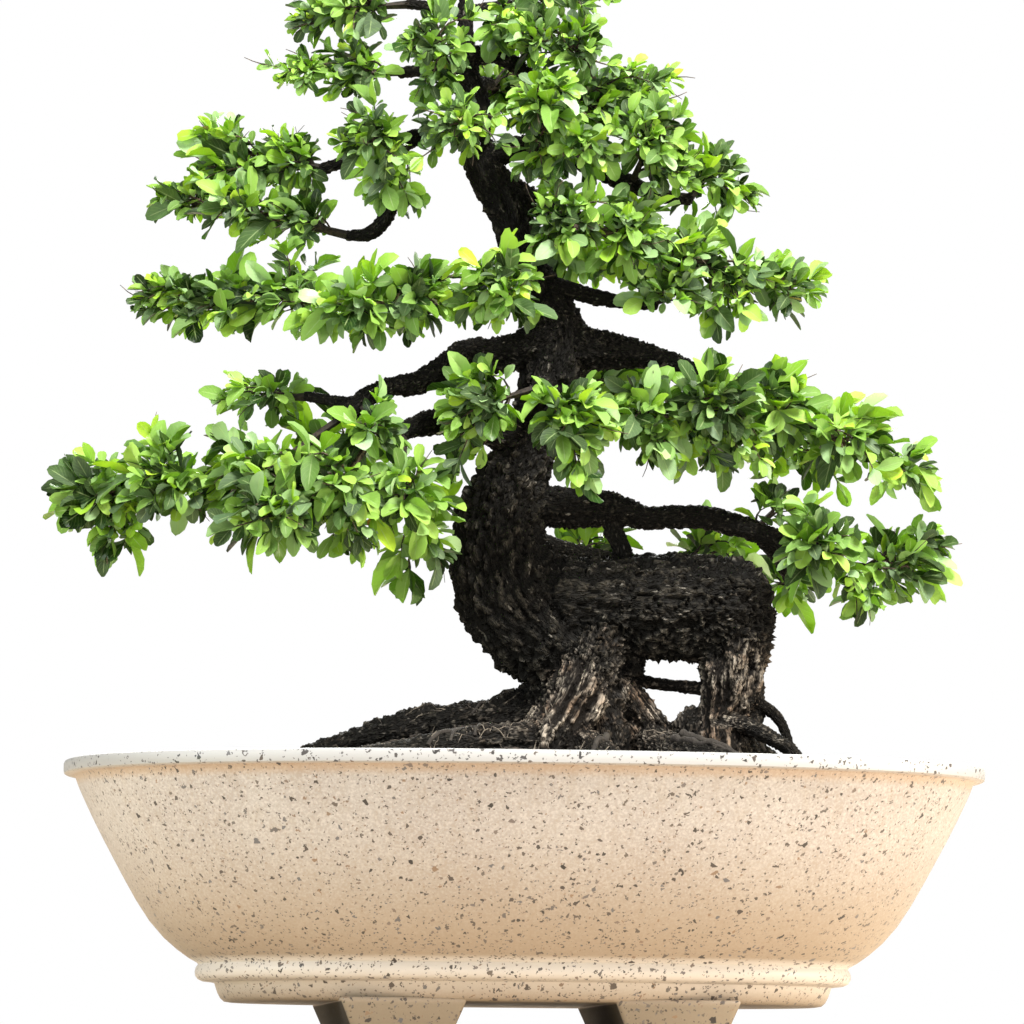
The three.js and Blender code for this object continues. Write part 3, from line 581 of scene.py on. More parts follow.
# Colours of the cast stone, with painted shade on its lower wall, under its rim and on its feet, and
# painted light on its ledge and rim
CREAM = (0.385, 0.350, 0.330)
PALE_CREAM = (0.425, 0.395, 0.375)
WHITE_GRAIN = (0.78, 0.73, 0.66)
TAN_GRAIN = (0.39, 0.295, 0.205)
WALL_SHADE = (0.325, 0.250, 0.170)
RUNNEL = (0.33, 0.26, 0.19)
RIM_SHADOW = (0.40, 0.27, 0.16)
LIT_LEDGE_CREAM = (0.68, 0.65, 0.61)
FOOT_SHADE = (0.21, 0.168, 0.112)
LIT_RIM_GREY = (0.37, 0.364, 0.356)
RIM_CHIP = (0.022, 0.020, 0.020)
FOOT_SIDE_SHADE = (0.018, 0.013, 0.008)
CHIP_COLOURS = [
    (0.0, (0.030, 0.026, 0.024)), (0.35, (0.075, 0.060, 0.052)), (0.60, (0.135, 0.110, 0.092)),
    (0.82, (0.120, 0.118, 0.128)), (1.0, (0.25, 0.16, 0.095)),
]
# Chips: cells to the metre, share of cells that are chips, bare edge of a cell, darkness
CHIP_SIZES = [(480, 0.105, 0.12, 0.8), (250, 0.125, 0.16, 0.95), (148, 0.10, 0.2, 1.0)]
# How far an edge of a chip is bent, as a share of its cell
CHIP_JOG = 0.9


def terrazzo():
    """Cream stone with dark angular chips of three sizes, and light and shade painted on its wall,
    ledge, rim and feet.
    """
    finish = Finish("terrazzo")
    at = finish.place()
    _, deep, up = finish.parts(at)
    cloudy = finish.grain(at, 9, 3)
    streaks = finish.grain(finish.scaled(at, (1, 1, 0.06)), 110, 2)
    fine = finish.grain(at, 420, 2, 0.6)
    cream = finish.mix(cloudy.step(0.36, 0.66), CREAM, PALE_CREAM)
    cream = finish.mix(fine.step(0.42, 0.72) * 0.32, cream, WHITE_GRAIN)
    cream = finish.mix(fine.step(0.52, 0.30) * 0.30, cream, TAN_GRAIN)
    # Painted shade: the wall darker and warmer towards the bottom, where it leans in and faces down
    cream = finish.mix(up.step(*SHADED_WALL) * 0.8, cream, WALL_SHADE)
    cream = finish.mix(streaks.step(0.50, 0.72) * 0.22, cream, RUNNEL)
    # Painted shadow: a warm dark band on the wall just under the rim, where the rim shades it
    shadow_under_rim = up.step(*SHADE_BELOW_RIM) * up.step(*RIM_STEP)
    cream = finish.mix(shadow_under_rim * 0.55, cream, RIM_SHADOW)
    # Painted light: the mouldings are paler, for the light that their upward and forward faces catch
    lit_ledge = up.step(*LEDGE_TOP) * up.step(*LEDGE_BOTTOM)
    cream = finish.mix(lit_ledge * 0.65, cream, LIT_LEDGE_CREAM)
    # Painted shade: the feet and the underside darker, for the shade under the pot
    cream = finish.mix(up.step(*UNDERSIDE) * 0.7, cream, FOOT_SHADE)
    # Painted light: the rim is a neutral grey in place of cream, for the strong light from above that
    # washes its colour out
    on_rim = up.step(*RIM_FACE)
    cream = finish.mix(on_rim, cream, LIT_RIM_GREY)
    low = up.step(*SPECKLED_WALL)
    chips = None
    colour = cream
    for scale, share, rim, dark in CHIP_SIZES:
        jog = finish.grain(at, scale * 1.7, 1)
        shift = finish.node("ShaderNodeCombineXYZ", inputs={0: jog, 1: jog, 2: jog})
        bent = finish.moved(at, finish.scaled(shift, (CHIP_JOG / scale,) * 3))
        red, green, _ = finish.channels(finish.cells(bent, scale, output="Color"))
        pick = red < share + low * share * 0.45
        inside = finish.cells(bent, scale, "DISTANCE_TO_EDGE").step(rim, rim + 0.07)
        chip = pick * inside
        # Chips on the rim are painted darker, to stand out against its painted light
        shade = finish.mix(on_rim * 0.7, finish.ramp(green, CHIP_COLOURS), RIM_CHIP)
        colour = finish.mix(chip * dark, colour, shade)
        chips = chip if chips is None else chips.larger(chip)
    # Painted shade: the sides of the feet behind their front faces near black, for the deep shade
    # under the pot; the same mask makes them rougher
    behind_face = up * FOOT_LEAN + FOOT_BOTTOM_LENGTH / 2 * MM - abs(deep)
    foot_side_shade = behind_face.step(0.0015, 0.006) * up.step(*FEET)
    colour = finish.mix(foot_side_shade * 0.92, colour, FOOT_SIDE_SHADE)
    shader = finish.surface(
        Base_Color=colour, Roughness=0.52 - chips * 0.16 + foot_side_shade * 0.46, IOR=1.5,
        Normal=finish.bump(fine, 0.16, 0.0003))
    return finish.done(shader)


# Colours of the bark, from its cracks to its flecks and painted glints, and of the strings on the
# legs
BARK_CRACK = (0.0075, 0.0066, 0.0052)
BARK_RIDGE = (0.052, 0.045, 0.034)
BARK_FLECK_GLINT = (0.21, 0.19, 0.16)
BARK_RED = (0.10, 0.050, 0.040)
STRING_GROOVE = (0.0085, 0.0062, 0.0045)
STRING_PALE = (0.61, 0.52, 0.415)
STRING_BROWN = (0.29, 0.195, 0.13)
# Flakes, fibres and patches of the bark to the metre
FLAKES = 380
FIBRES = 620
STRINGS = 560
PATCHES = 34


def bark():
    """Near-black flaky bark, and paler stringy bark on the legs and roots."""
    finish = Finish("bark")
    along = finish.attribute("grain", "Vector")
    relief = finish.attribute("relief")
    pale = finish.attribute("pale")
    flaky = finish.scaled(along, (1, 1, 0.36))
    stringy = finish.scaled(along, (1, 1, 0.07))
    edges = finish.cells(flaky, FLAKES, "DISTANCE_TO_EDGE").step(0.02, 0.22)
    pick = finish.channels(finish.cells(flaky, FLAKES, output="Color"))[0]
    fibres = finish.grain(flaky, FIBRES, 3, 0.65)
    strings = finish.grain(stringy, STRINGS, 3, 0.7)
    patches = finish.grain(along, PATCHES, 3, 0.6)
    lift = (relief * 0.5 + 0.5).clamped()
    ridge = lift.step(0.30, 0.90) * (fibres.step(0.40, 0.62) * 0.8 + 0.2)
    # Pale flecks on raised bark: partly the bark's own specks, partly painted glints of the light
    # from above
    fleck_glint = pick.step(0.72, 0.95) * edges * fibres.step(0.42, 0.6) * lift.step(0.25, 0.7)
    dark = finish.mix(ridge, BARK_CRACK, BARK_RIDGE)
    dark = finish.mix(fleck_glint * 0.95, dark, BARK_FLECK_GLINT)
    dark = finish.mix(patches.step(0.58, 0.74) * fleck_glint, dark, BARK_RED)
    string = strings.step(0.40, 0.60) * lift.step(0.22, 0.80)
    light = finish.mix(patches.step(0.40, 0.62), STRING_PALE, STRING_BROWN)
    light = finish.mix(string, STRING_GROOVE, light)
    light = finish.mix(patches.step(0.56, 0.74) * 0.35, light, dark)
    colour = finish.mix(pale.step(0.1, 0.95, smooth=False), dark, light)
    height = finish.mix(pale, edges * 0.55 + fibres * 0.6, strings * 1.3)
    shader = finish.surface(
        Base_Color=colour, Roughness=0.84 - edges * 0.2, Specular_IOR_Level=0.14,
        Normal=finish.bump(height, 1.0, 0.0028))
    return finish.done(shader)


# Leaf colours from the darkest to dead ones
LEAF_TONES = [
    (0.0, (0.008, 0.030, 0.005)), (0.18, (0.030, 0.095, 0.012)), (0.41, (0.215, 0.405, 0.040)),
    (0.75, (0.42, 0.66, 0.055)), (0.955, (0.58, 0.79, 0.07)), (0.985, (0.55, 0.14, 0.04)),
]
# Colours of a leaf's painted gloss, blotches, veins, midrib and underside, and of light through it
PAINTED_GLOSS = (0.58, 0.73, 0.54)
BLOTCH = (0.22, 0.40, 0.05)
VEIN = (0.50, 0.66, 0.24)
MIDRIB = (0.55, 0.68, 0.30)
LEAF_BACK = (0.34, 0.52, 0.18)
LIT_THROUGH = (0.56, 0.82, 0.04)
# Colours of twigs: old and young wood, and the wood's shade
OLD_TWIG = (0.022, 0.017, 0.013)
YOUNG_TWIG = (0.15, 0.105, 0.065)
TWIG_SHADE = (0.016, 0.012, 0.009)
# Side veins along a leaf, and how far they slant towards its tip
SIDE_VEINS = 9
VEIN_SLANT = 2.6
# Share of the light that goes through a leaf
THROUGH_SHARE = 0.42


def foliage():
    """Leaves from dark green to yellow-green that let light through, and their brown twigs."""
    finish = Finish("foliage")
    tone = finish.attribute("tone")
    woody = finish.attribute("woody")
    under = finish.attribute("under")
    sheen = finish.attribute("sheen")
    across, along, _ = finish.parts(finish.node("ShaderNodeTexCoord", output="UV"))
    at = finish.place()
    from_rib = abs(across - 0.5) * 2
    rib = from_rib.step(0.11, 0.03) * along.step(1.0, 0.7)
    slant = along * SIDE_VEINS - from_rib * VEIN_SLANT
    veins = (slant * math.tau).sine().step(0.72, 1.0) * from_rib.step(0.04, 0.2)
    blotch = finish.grain(at, 140, 2)
    leaf = finish.ramp(tone, LEAF_TONES)
    # Painted reflection: some leaves, more so the lighter ones, turn pale sage for the gloss of light
    # on them
    leaf = finish.mix(sheen.step(0.40, 0.95) * (tone * 0.95 + 0.15), leaf, PAINTED_GLOSS)
    leaf = finish.mix(blotch.step(0.45, 0.7) * 0.12, leaf, BLOTCH)
    leaf = finish.mix(veins * 0.14, leaf, VEIN)
    leaf = finish.mix(rib * 0.5, leaf, MIDRIB)
    leaf = finish.mix(under * (tone * 0.4 + 0.12), leaf, LEAF_BACK)
    young = finish.mix(tone, OLD_TWIG, YOUNG_TWIG)
    twig = finish.mix(finish.grain(at, 300, 2).step(0.35, 0.65), TWIG_SHADE, young)
    colour = finish.mix(woody, leaf, twig)
    through = finish.mix(tone * 0.75 + 0.12, leaf, LIT_THROUGH)
    height = rib * 0.6 + veins * 0.5
    normal = finish.bump(height * (1 - woody), 0.35, 0.0006)
    shader = finish.surface(
        Base_Color=colour, Roughness=0.33 + under * 0.25 + woody * 0.40, IOR=1.5,
        Specular_IOR_Level=0.38, Normal=normal)
    glow = finish.node("ShaderNodeBsdfTranslucent", inputs={"Color": through, "Normal": normal})
    glowing = (1 - woody) * THROUGH_SHARE
    lit = finish.node("ShaderNodeMixShader", inputs={0: glowing, 1: shader, 2: glow})
    return finish.done(lit)


# Colours of the soil's hollows and clods, and of its pale grit
SOIL_DARK = (0.010, 0.0075, 0.006)
SOIL_LIGHT = (0.055, 0.040, 0.030)
GRIT = (0.20, 0.155, 0.11)


def earth():
    """Dark crumbly soil with a little pale grit."""
    finish = Finish("earth")
    at = finish.place()
    clods = finish.grain(at, 120, 4, 0.7)
    grit = finish.channels(finish.cells(at, 420, output="Color"))[0] > 0.93
    colour = finish.mix(clods.step(0.35, 0.7), SOIL_DARK, SOIL_LIGHT)
    colour = finish.mix(grit * 0.6, colour, GRIT)
    shader = finish.surface(
        Base_Color=colour, Roughness=0.95, Normal=finish.bump(clods, 0.9, 0.003))
    return finish.done(shader)


def plain_finish(name, colour, roughness):
    """A nearly even finish, with faint specks."""
    finish = Finish(name)
    specks = finish.grain(finish.place(), 60, 2)
    tint = finish.mix(specks * 0.05, colour, tuple(0.9 * value for value in colour))
    return finish.done(finish.surface(Base_Color=tint, Roughness=roughness))


# Rings longer than the rim's share of one in this are as much less deep than long as the rim is
FULL_OVAL = 1.6
# Points of each ring of the pot
RING_POINTS = 192
FOOT_ROUNDING = 0.004


def oval(turn):
    """A point of the pot's oval, in half-lengths and half-depths."""
    across, deep = math.cos(turn), math.sin(turn)
    return (
        math.copysign(abs(across) ** (2 / OVAL_POWER), across),
        math.copysign(abs(deep) ** (2 / OVAL_POWER), deep),
    )


def oval_halves(half_length):
    """The half-length and the half-depth of one of the pot's rings, in metres."""
    share = min(1, half_length / RIM_HALF_LENGTH * FULL_OVAL)
    return (
        half_length * MM,
        (half_length - (RIM_HALF_LENGTH - RIM_HALF_DEPTH) * share) * MM,
    )


def make_pot():
    """The pot's wall is drawn up ring by ring, over the rim and down to its floor, on two feet."""
    bpy.ops.mesh.primitive_circle_add(vertices=RING_POINTS, radius=1, location=(0, 0, 0))
    pot = named(bpy.context.object, "pot_casting")
    length, depth = oval_halves(POT_RINGS[0][0])
    for number, vertex in enumerate(pot.data.vertices):
        across, deep = oval(math.tau * number / RING_POINTS)
        vertex.co = (across * length, deep * depth, POT_RINGS[0][1] * MM)
    bpy.ops.object.mode_set(mode="EDIT")
    bpy.ops.mesh.select_all(action="SELECT")
    bpy.ops.mesh.edge_face_add()
    bpy.ops.mesh.select_mode(type="EDGE")
    for before, ring in zip(POT_RINGS, POT_RINGS[1:]):
        old, new = oval_halves(before[0]), oval_halves(ring[0])
        bpy.ops.mesh.extrude_edges_move(
            TRANSFORM_OT_translate={"value": (0, 0, (ring[1] - before[1]) * MM)})
        bpy.ops.transform.resize(
            value=(new[0] / old[0], new[1] / old[1], 1), center_override=(0, 0, 0))
    bpy.ops.mesh.edge_face_add()
    bpy.ops.object.mode_set(mode="OBJECT")
    for side in (-1, 1):
        height = (BASE_BOTTOM + FOOT_SUNK) * MM
        bpy.ops.mesh.primitive_cube_add(size=1, location=(0, 0, 0))
        foot = bpy.context.object
        for vertex in foot.data.vertices:
            low = vertex.co.z < 0
            vertex.co.x *= (FOOT_BOTTOM_WIDTH if low else FOOT_TOP_WIDTH) * MM
            vertex.co.y *= (FOOT_BOTTOM_LENGTH if low else FOOT_TOP_LENGTH) * MM
            vertex.co.z = (vertex.co.z + 0.5) * height
            vertex.co.x += side * FOOT_OFFSET * MM
        apply_modifier(foot, "BEVEL", width=FOOT_ROUNDING, segments=3, limit_method="ANGLE")
        apply_modifier(pot, "BOOLEAN", operation="UNION", solver="EXACT", object=foot)
        bpy.data.objects.remove(foot)
    for vertex in pot.data.vertices:
        vertex.co.x += POT_SHIFT * MM
    edit_outwards(pot)
    smooth_by_angle(pot, 38)
    wear(pot, terrazzo())
    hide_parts("pot")
    return pot


# Heaps of soil in millimetres: how far right each is, its reach across and deep, and its height
SOIL_HEAPS = [(-45, 125, 70, 34), (60, 190, 150, 14)]
# Size and height of the soil's clods and of its wider lumps, in millimetres
CLODS = (14, 2.4)
LUMPS = (38, 2.5)
# How far the grid of the soil's top is split, across and deep
SOIL_GRID = (140, 100)
# The soil's body under its top: how far down it goes, and how much less long and deep it is there
SOIL_DEPTH = 0.06
SOIL_TAPER = (0.91, 0.88, 1)


def soil_heap(x, y):
    """How far the soil is heaped above its edge, in millimetres."""
    height = 0
    for right, reach, deep, top in SOIL_HEAPS:
        height += top * math.exp(-((x - right) / reach) ** 2 - (y / deep) ** 2)
    return height


def soil_height(x, y, share):
    """The soil's top at a place in millimetres, with clods that die out towards its edge."""
    clods = CLODS[1] * noise.fractal(Vector((x, y, 3)) / CLODS[0], 0.7, 2.1, 4)
    lumps = LUMPS[1] * noise.noise(Vector((x, y, 9)) / LUMPS[0])
    fade = min(1, (1 - share) * 9)
    return SOIL_EDGE_TOP - 0.5 + soil_heap(x, y) + (clods + lumps) * fade


def make_soil():
    """The soil's top is a grid drawn to the pot's oval, and its edge goes down into the pot."""
    bpy.ops.mesh.primitive_grid_add(
        x_subdivisions=SOIL_GRID[0], y_subdivisions=SOIL_GRID[1], size=2)
    soil = named(bpy.context.object, "soil_filling")
    length, depth = (value / MM for value in oval_halves(SOIL_HALF_LENGTH))
    for vertex in soil.data.vertices:
        a, b = vertex.co.x, vertex.co.y
        share = max(abs(a), abs(b))
        across, deep = oval(math.atan2(b, a)) if share else (0, 0)
        x, y = share * across * length, share * deep * depth
        vertex.co = Vector((x + POT_SHIFT, y, soil_height(x, y, share))) * MM
    select_only(soil)
    bpy.ops.object.mode_set(mode="EDIT")
    bpy.ops.mesh.select_all(action="SELECT")
    bpy.ops.mesh.region_to_loop()
    bpy.ops.mesh.extrude_edges_move(TRANSFORM_OT_translate={"value": (0, 0, -SOIL_DEPTH)})
    bpy.ops.transform.resize(value=SOIL_TAPER, center_override=(POT_SHIFT * MM, 0, 0.2))
    bpy.ops.mesh.edge_face_add()
    bpy.ops.object.mode_set(mode="OBJECT")
    edit_outwards(soil)
    smooth_by_angle(soil, 50)
    wear(soil, earth_finish)
    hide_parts("soil")
    return soil


def solid_bvh(*pieces):
    """The surfaces of pieces together, for finding what lies under a point."""
    points, faces = [], []
    for piece in pieces:
        first = len(points)
        points += [vertex.co.copy() for vertex in piece.data.vertices]
        faces += [[first + number for number in face.vertices] for face in piece.data.polygons]
    return BVHTree.FromPolygons(points, faces)


def lie_on(ground, x, y, ceiling):
    """The ground's point and normal under a place, or None where there is no upward face."""
    point, normal, _, _ = ground.ray_cast(Vector((x, y, ceiling)), Vector((0, 0, -1)))
    if point is None or normal.z < 0.15:
        return None
    return point, normal


# Where rootlets lie: across and deep in view millimetres, their spread, and how many start there
ROOTLET_SPOTS = [(-110, -20, 55, 45), (-20, -40, 40, 45), (50, -50, 35, 45), (120, -30, 35, 35),
                 (200, -20, 40, 35), (60, 60, 90, 40)]
# How many roots creep out over the soil
SURFACE_ROOTS = 34
# Roots lie below this height, under the trunk's belly, and end where the ground steps up or down
ROOT_CEILING = 0.314
GROUND_JUMP = 0.009
# How far each step of a rootlet and of a root goes, in metres
ROOTLET_PACE = 0.004
ROOT_PACE = 0.005
# The ring from which roots creep: its middle, half-width and half-depth in view millimetres
ROOT_RING = (95, 115, 48)
# Colours: of the roots' dark spots, and the light side of rootlets and of roots
ROOT_DARK = (0.020, 0.015, 0.011)
ROOTLET_LIGHT = (0.19, 0.155, 0.115)
ROOT_LIGHT = (0.040, 0.032, 0.024)


def creep(ground, draws, start, heading, steps, pace, radii, sway):
    """A root's line that wanders over the ground, up to where the ground jumps or ends."""
    seed = start.copy()
    curl = draws.uniform(-0.4, 0.4) * sway
    line = []
    for step in range(steps):
        found = lie_on(ground, seed.x, seed.y, ROOT_CEILING)
        if found is None or (line and abs(found[0].z - line[-1][0].z) > GROUND_JUMP):
            break
        share = step / max(1, steps - 1)
        radius = (radii[0] * (1 - share) + radii[1] * share) * draws.uniform(0.82, 1.18)
        line.append((found[0] + found[1] * radius * 0.3, radius))
        heading += curl + draws.uniform(-sway, sway)
        seed += Vector((math.cos(heading), math.sin(heading), 0)) * pace
    return line


def lay_rootlets(ground):
    """Fine pale rootlets on the roots and the soil about the legs."""
    draws = random.Random(11)
    lines = []
    for across, deep, spread, count in ROOTLET_SPOTS:
        for _ in range(count):
            seed = place((across + draws.gauss(0, spread), deep + draws.gauss(0, spread / 2), 0))
            heading = draws.uniform(0, math.tau)
            steps = draws.randint(9, 22)
            line = creep(
                ground, draws, seed, heading, steps, ROOTLET_PACE, (0.00055, 0.0004), 0.35)
            if len(line) > 4:
                lines.append(line)
    return finish_roots("fine_rootlets", lines, 0, ROOTLET_LIGHT)


def lay_surface_roots(ground):
    """Forked roots that creep out from the tree over the soil."""
    draws = random.Random(37)
    lines = []
    middle, half_width, half_depth = ROOT_RING
    for number in range(SURFACE_ROOTS):
        turn = math.tau * (number + draws.uniform(-0.3, 0.3)) / SURFACE_ROOTS
        across = middle + half_width * math.cos(turn) + draws.uniform(-20, 20)
        seed = place((across, half_depth * math.sin(turn), 0))
        heading = math.atan2(math.sin(turn) * 0.9, math.cos(turn)) + draws.uniform(-0.3, 0.3)
        thick = draws.uniform(0.0024, 0.0042)
        steps = draws.randint(14, 34)
        line = creep(ground, draws, seed, heading, steps, ROOT_PACE, (thick, 0.0009), 0.16)
        if len(line) < 6:
            continue
        lines.append(line)
        for _ in range(draws.randint(1, 3)):
            point, radius = line[draws.randint(2, len(line) - 3)]
            aside = heading + draws.choice((-1, 1)) * draws.uniform(0.4, 0.9)
            steps = draws.randint(8, 20)
            arm = creep(
                ground, draws, point, aside, steps, ROOT_PACE, (radius * 0.75, 0.0007), 0.2)
            if len(arm) > 4:
                lines.append(arm)
    return finish_roots("surface_roots", lines, 2, ROOT_LIGHT)


def finish_roots(name, lines, roundness, light):
    roots = tubes(name, lines, roundness)
    smooth_by_angle(roots, 80)
    wear(roots, rootlet_finish(name, light))
    return roots


def rootlet_finish(name, light):
    finish = Finish(name)
    at = finish.place()
    tint = finish.mix(finish.grain(at, 90, 3).step(0.35, 0.65), ROOT_DARK, light)
    bumps = finish.bump(finish.grain(at, 420, 4, 0.7), 1.0, 0.0016)
    return finish.done(finish.surface(Base_Color=tint, Roughness=0.85, Normal=bumps))


# How many crumbs lie on the soil
CRUMBS = 1400


def scatter_crumbs(ground, material):
    """Crumbs of soil that lie loose on the filling."""
    draws = random.Random(23)
    bpy.ops.mesh.primitive_ico_sphere_add(subdivisions=1, radius=1, location=(0, 0, 0))
    model = bpy.context.object
    shape = [vertex.co.copy() for vertex in model.data.vertices]
    sides = [face.vertices[:] for face in model.data.polygons]
    bpy.data.objects.remove(model)
    length, depth = oval_halves(SOIL_HALF_LENGTH)
    points, faces = [], []
    while len(points) < CRUMBS * len(shape):
        across, deep = oval(draws.uniform(0, math.tau))
        share = math.sqrt(draws.random()) * 0.985
        x, y = across * share * length + POT_SHIFT * MM, deep * share * depth
        found = lie_on(ground, x, y, ROOT_CEILING)
        if found is None:
            continue
        size = draws.triangular(1.0, 3.6, 1.4) * MM
        squash = Matrix.Diagonal([draws.uniform(0.6, 1.3) * size for _ in range(3)])
        turn = Matrix.Rotation(draws.uniform(0, math.tau), 3, "Z")
        first = len(points)
        for corner in shape:
            dent = draws.uniform(0.75, 1.15)
            points.append(found[0] + turn @ squash @ corner * dent + found[1] * size * 0.3)
        faces += [[first + number for number in side] for side in sides]
    mesh = bpy.data.meshes.new("soil_crumbs")
    mesh.from_pydata(points, [], faces)
    crumbs = bpy.data.objects.new("soil_crumbs", mesh)
    bpy.context.collection.objects.link(crumbs)
    wear(crumbs, material)
    return crumbs


# How softly the paleness of one limb goes over into its neighbour's, in metres
PALE_BLEND = 0.007
# Places that are looked up at a time
BATCH = 4000


class Limbs:
    """The lines of the tree's limbs, for finding what a point of the bark belongs to."""

    def __init__(self, groups):
        rows = []
        for limb, (stations, paleness, lumps) in enumerate(groups):
            frames = framed(limb_line(stations, 0.004))
            walked = 0.37 * limb
            behind = frames[0][0]
            for i, (point, radius, heading, side, other) in enumerate(frames):
                walked += (point - behind).length
                behind = point
                share = i / (len(frames) - 1)
                rows.append((
                    *point, radius, *heading, *side, *other, walked, paleness(share), lumps))
        table = np.array(rows, np.float32)
        self.points, self.radii = table[:, :3], table[:, 3]
        self.headings, self.sides, self.others = table[:, 4:7], table[:, 7:10], table[:, 10:13]
        self.walked, self.pale, self.lumps = table[:, 13], table[:, 14], table[:, 15]

    def nearest(self, places):
        """For each place the sample whose surface is nearest, and how pale the bark there is."""
        found = np.zeros(len(places), np.int64)
        pale = np.zeros(len(places), np.float32)
        for start in range(0, len(places), BATCH):
            part = places[start:start + BATCH]
            gaps = np.linalg.norm(part[:, None] - self.points[None], axis=2) - self.radii[None]
            found[start:start + BATCH] = gaps.argmin(1)
            weights = np.exp((gaps.min(1)[:, None] - gaps) / PALE_BLEND)
            pale[start:start + BATCH] = (weights * self.pale).sum(1) / weights.sum(1)
        return found, pale


# The bark's plates lie the same way each time for one seed
BARK_SEED = 4
# How far the borders between the limbs' barks wander, and over what distance, in metres
DRIFT = 0.014
DRIFT_SIZE = 0.022
# A plate of bark: its least width, its width for each metre of radius, and how long it is for its
# width, on dark bark and added on a leg
PLATE_WIDTH = 0.0034
PLATE_FOR_RADIUS = 0.055
PLATE_LENGTH = 2.2
LEG_PLATE_LENGTH = 5
# Length of a flute on a leg, and sizes of lumps, pale patches and rags of bark, in metres
FLUTE_LENGTH = 0.15
LUMP_SIZES = (0.015, 0.007)
PATCH_SIZE = 0.02
RAG_SIZE = 0.008
# Depth of bark on thin limbs, of flutes on dark bark and on legs, and of rags, as shares of a radius
THIN_DEPTH = 0.11
FLUTE_DEPTH = 0.05
LEG_FLUTE_DEPTH = 0.17
RAG_DEPTH = 0.12


def raise_bark(wood, limbs, deepest):
    """Raises flaky plates and long flutes on a limb mesh, and keeps where the bark's grain runs."""
    mesh = wood.data
    places = vertex_places(mesh)
    normals = np.zeros(len(places) * 3, np.float32)
    mesh.vertices.foreach_get("normal", normals)
    normals = normals.reshape(-1, 3)
    noise.seed_set(BARK_SEED)
    drift = np.array([noise.noise_vector(Vector(at) / DRIFT_SIZE) for at in places], np.float32)
    found, pale = limbs.nearest(places + DRIFT * drift)
    offset = places - limbs.points[found]
    u = (offset * limbs.sides[found]).sum(1)
    v = (offset * limbs.others[found]).sum(1)
    t = (offset * limbs.headings[found]).sum(1) + limbs.walked[found]
    radii = limbs.radii[found]
    lumps = limbs.lumps[found]
    grain = np.stack([u, v, t], 1)
    relief = np.zeros(len(places), np.float32)
    lift = np.zeros(len(places), np.float32)
    for i in range(len(places)):
        radius = float(radii[i])
        at = Vector([float(value) for value in places[i]])
        leg = float(pale[i])
        leg = max(0, min(1, leg + 1.6 * leg * (1 - leg) * noise.noise(at / PATCH_SIZE)))
        wide = PLATE_WIDTH + PLATE_FOR_RADIUS * radius
        tall = wide * (PLATE_LENGTH + LEG_PLATE_LENGTH * leg)
        local = Vector((float(u[i]) / wide, float(v[i]) / wide, float(t[i]) / tall))
        warp = noise.noise_vector(local * 0.6)
        distances, centres = noise.voronoi(local + 0.5 * warp)
        crack = min(1, (distances[1] - distances[0]) * 3.4)
        plate = noise.cell(centres[0] * 7.3)
        flakes = noise.noise(local * 2.1)
        relief[i] = crack * 1.1 + 0.9 * plate + 0.5 * flakes - 1.1
        around = max(1e-6, math.hypot(float(u[i]), float(v[i])))
        spread = 1.8 + 1.4 * leg
        turn = Vector((u[i] / around * spread, v[i] / around * spread, t[i] / FLUTE_LENGTH))
        flute = 1 - 2.6 * abs(noise.noise(turn))
        lump = noise.noise(at / LUMP_SIZES[0]) + 0.6 * noise.noise(at / LUMP_SIZES[1])
        under = max(0, -float(normals[i][2])) * (1 - leg) * noise.noise(at / RAG_SIZE) * RAG_DEPTH
        lift[i] = min(deepest, THIN_DEPTH * radius) * relief[i] * (1 - 0.45 * leg) + radius * (
            (FLUTE_DEPTH + LEG_FLUTE_DEPTH * leg) * flute
            + float(lumps[i]) * (1 - 0.7 * leg) * lump + under)
        relief[i] = relief[i] * (1 - 0.55 * leg) + 1.3 * (flute - 0.35) * leg
        pale[i] = leg
    places += normals * lift[:, None]
    mesh.vertices.foreach_set("co", places.ravel())
    mesh.update()
    add_vector(mesh, "grain", grain)
    add_float(mesh, "relief", np.clip(relief, -1, 1))
    add_float(mesh, "pale", pale)


def make_wood(name, lines, limbs, voxel, roundness, smoothing, deepest):
    """Tubes along the lines, grown together, smoothed where they meet, and given their bark."""
    wood = tubes(name, lines, roundness)
    apply_modifier(wood, "REMESH", mode="VOXEL", voxel_size=voxel)
    apply_modifier(wood, "SMOOTH", factor=0.5, iterations=smoothing)
    raise_bark(wood, limbs, deepest)
    smooth_by_angle(wood, 75)
    wear(wood, bark_finish)
    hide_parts("tree")
    return wood


# What the smoothing takes off a limb, in metres
SMOOTHED_OFF = 0.0008
# Strands of each leg: how many, the turn of the first, and how far they splay at the foot
LEG_STRANDS = [(8, 0.3, 2.8), (7, 0.9, 2.4), (7, 0.2, 1.0)]


# How lumpy the stout limbs are, and for the other limbs how pale and how lumpy
STOUT_LUMPS = 0.05
OTHER_LIMBS = [(ROOT_LIMBS, 0.16, 0.26), (MIDDLE_LIMBS, 0.05, 0.10), (THIN_LIMBS, 0.10, 0.08)]
# How fine the wood's faces are, in metres, how round its tubes, how far smoothed, and the
# deepest relief of its bark
TRUNK_GRAIN = {"voxel": 0.0023, "roundness": 8, "smoothing": 5, "deepest": 0.0032}
BRANCH_GRAIN = {"voxel": 0.0021, "roundness": 4, "smoothing": 4, "deepest": 0.0017}


def evenly(paleness):
    """The same paleness all along a limb."""
    return lambda share: paleness


def leg_paleness(share):
    """A leg's bark turns pale a little below its top."""
    return min(1, max(0, (share - 0.06) * 3.6))


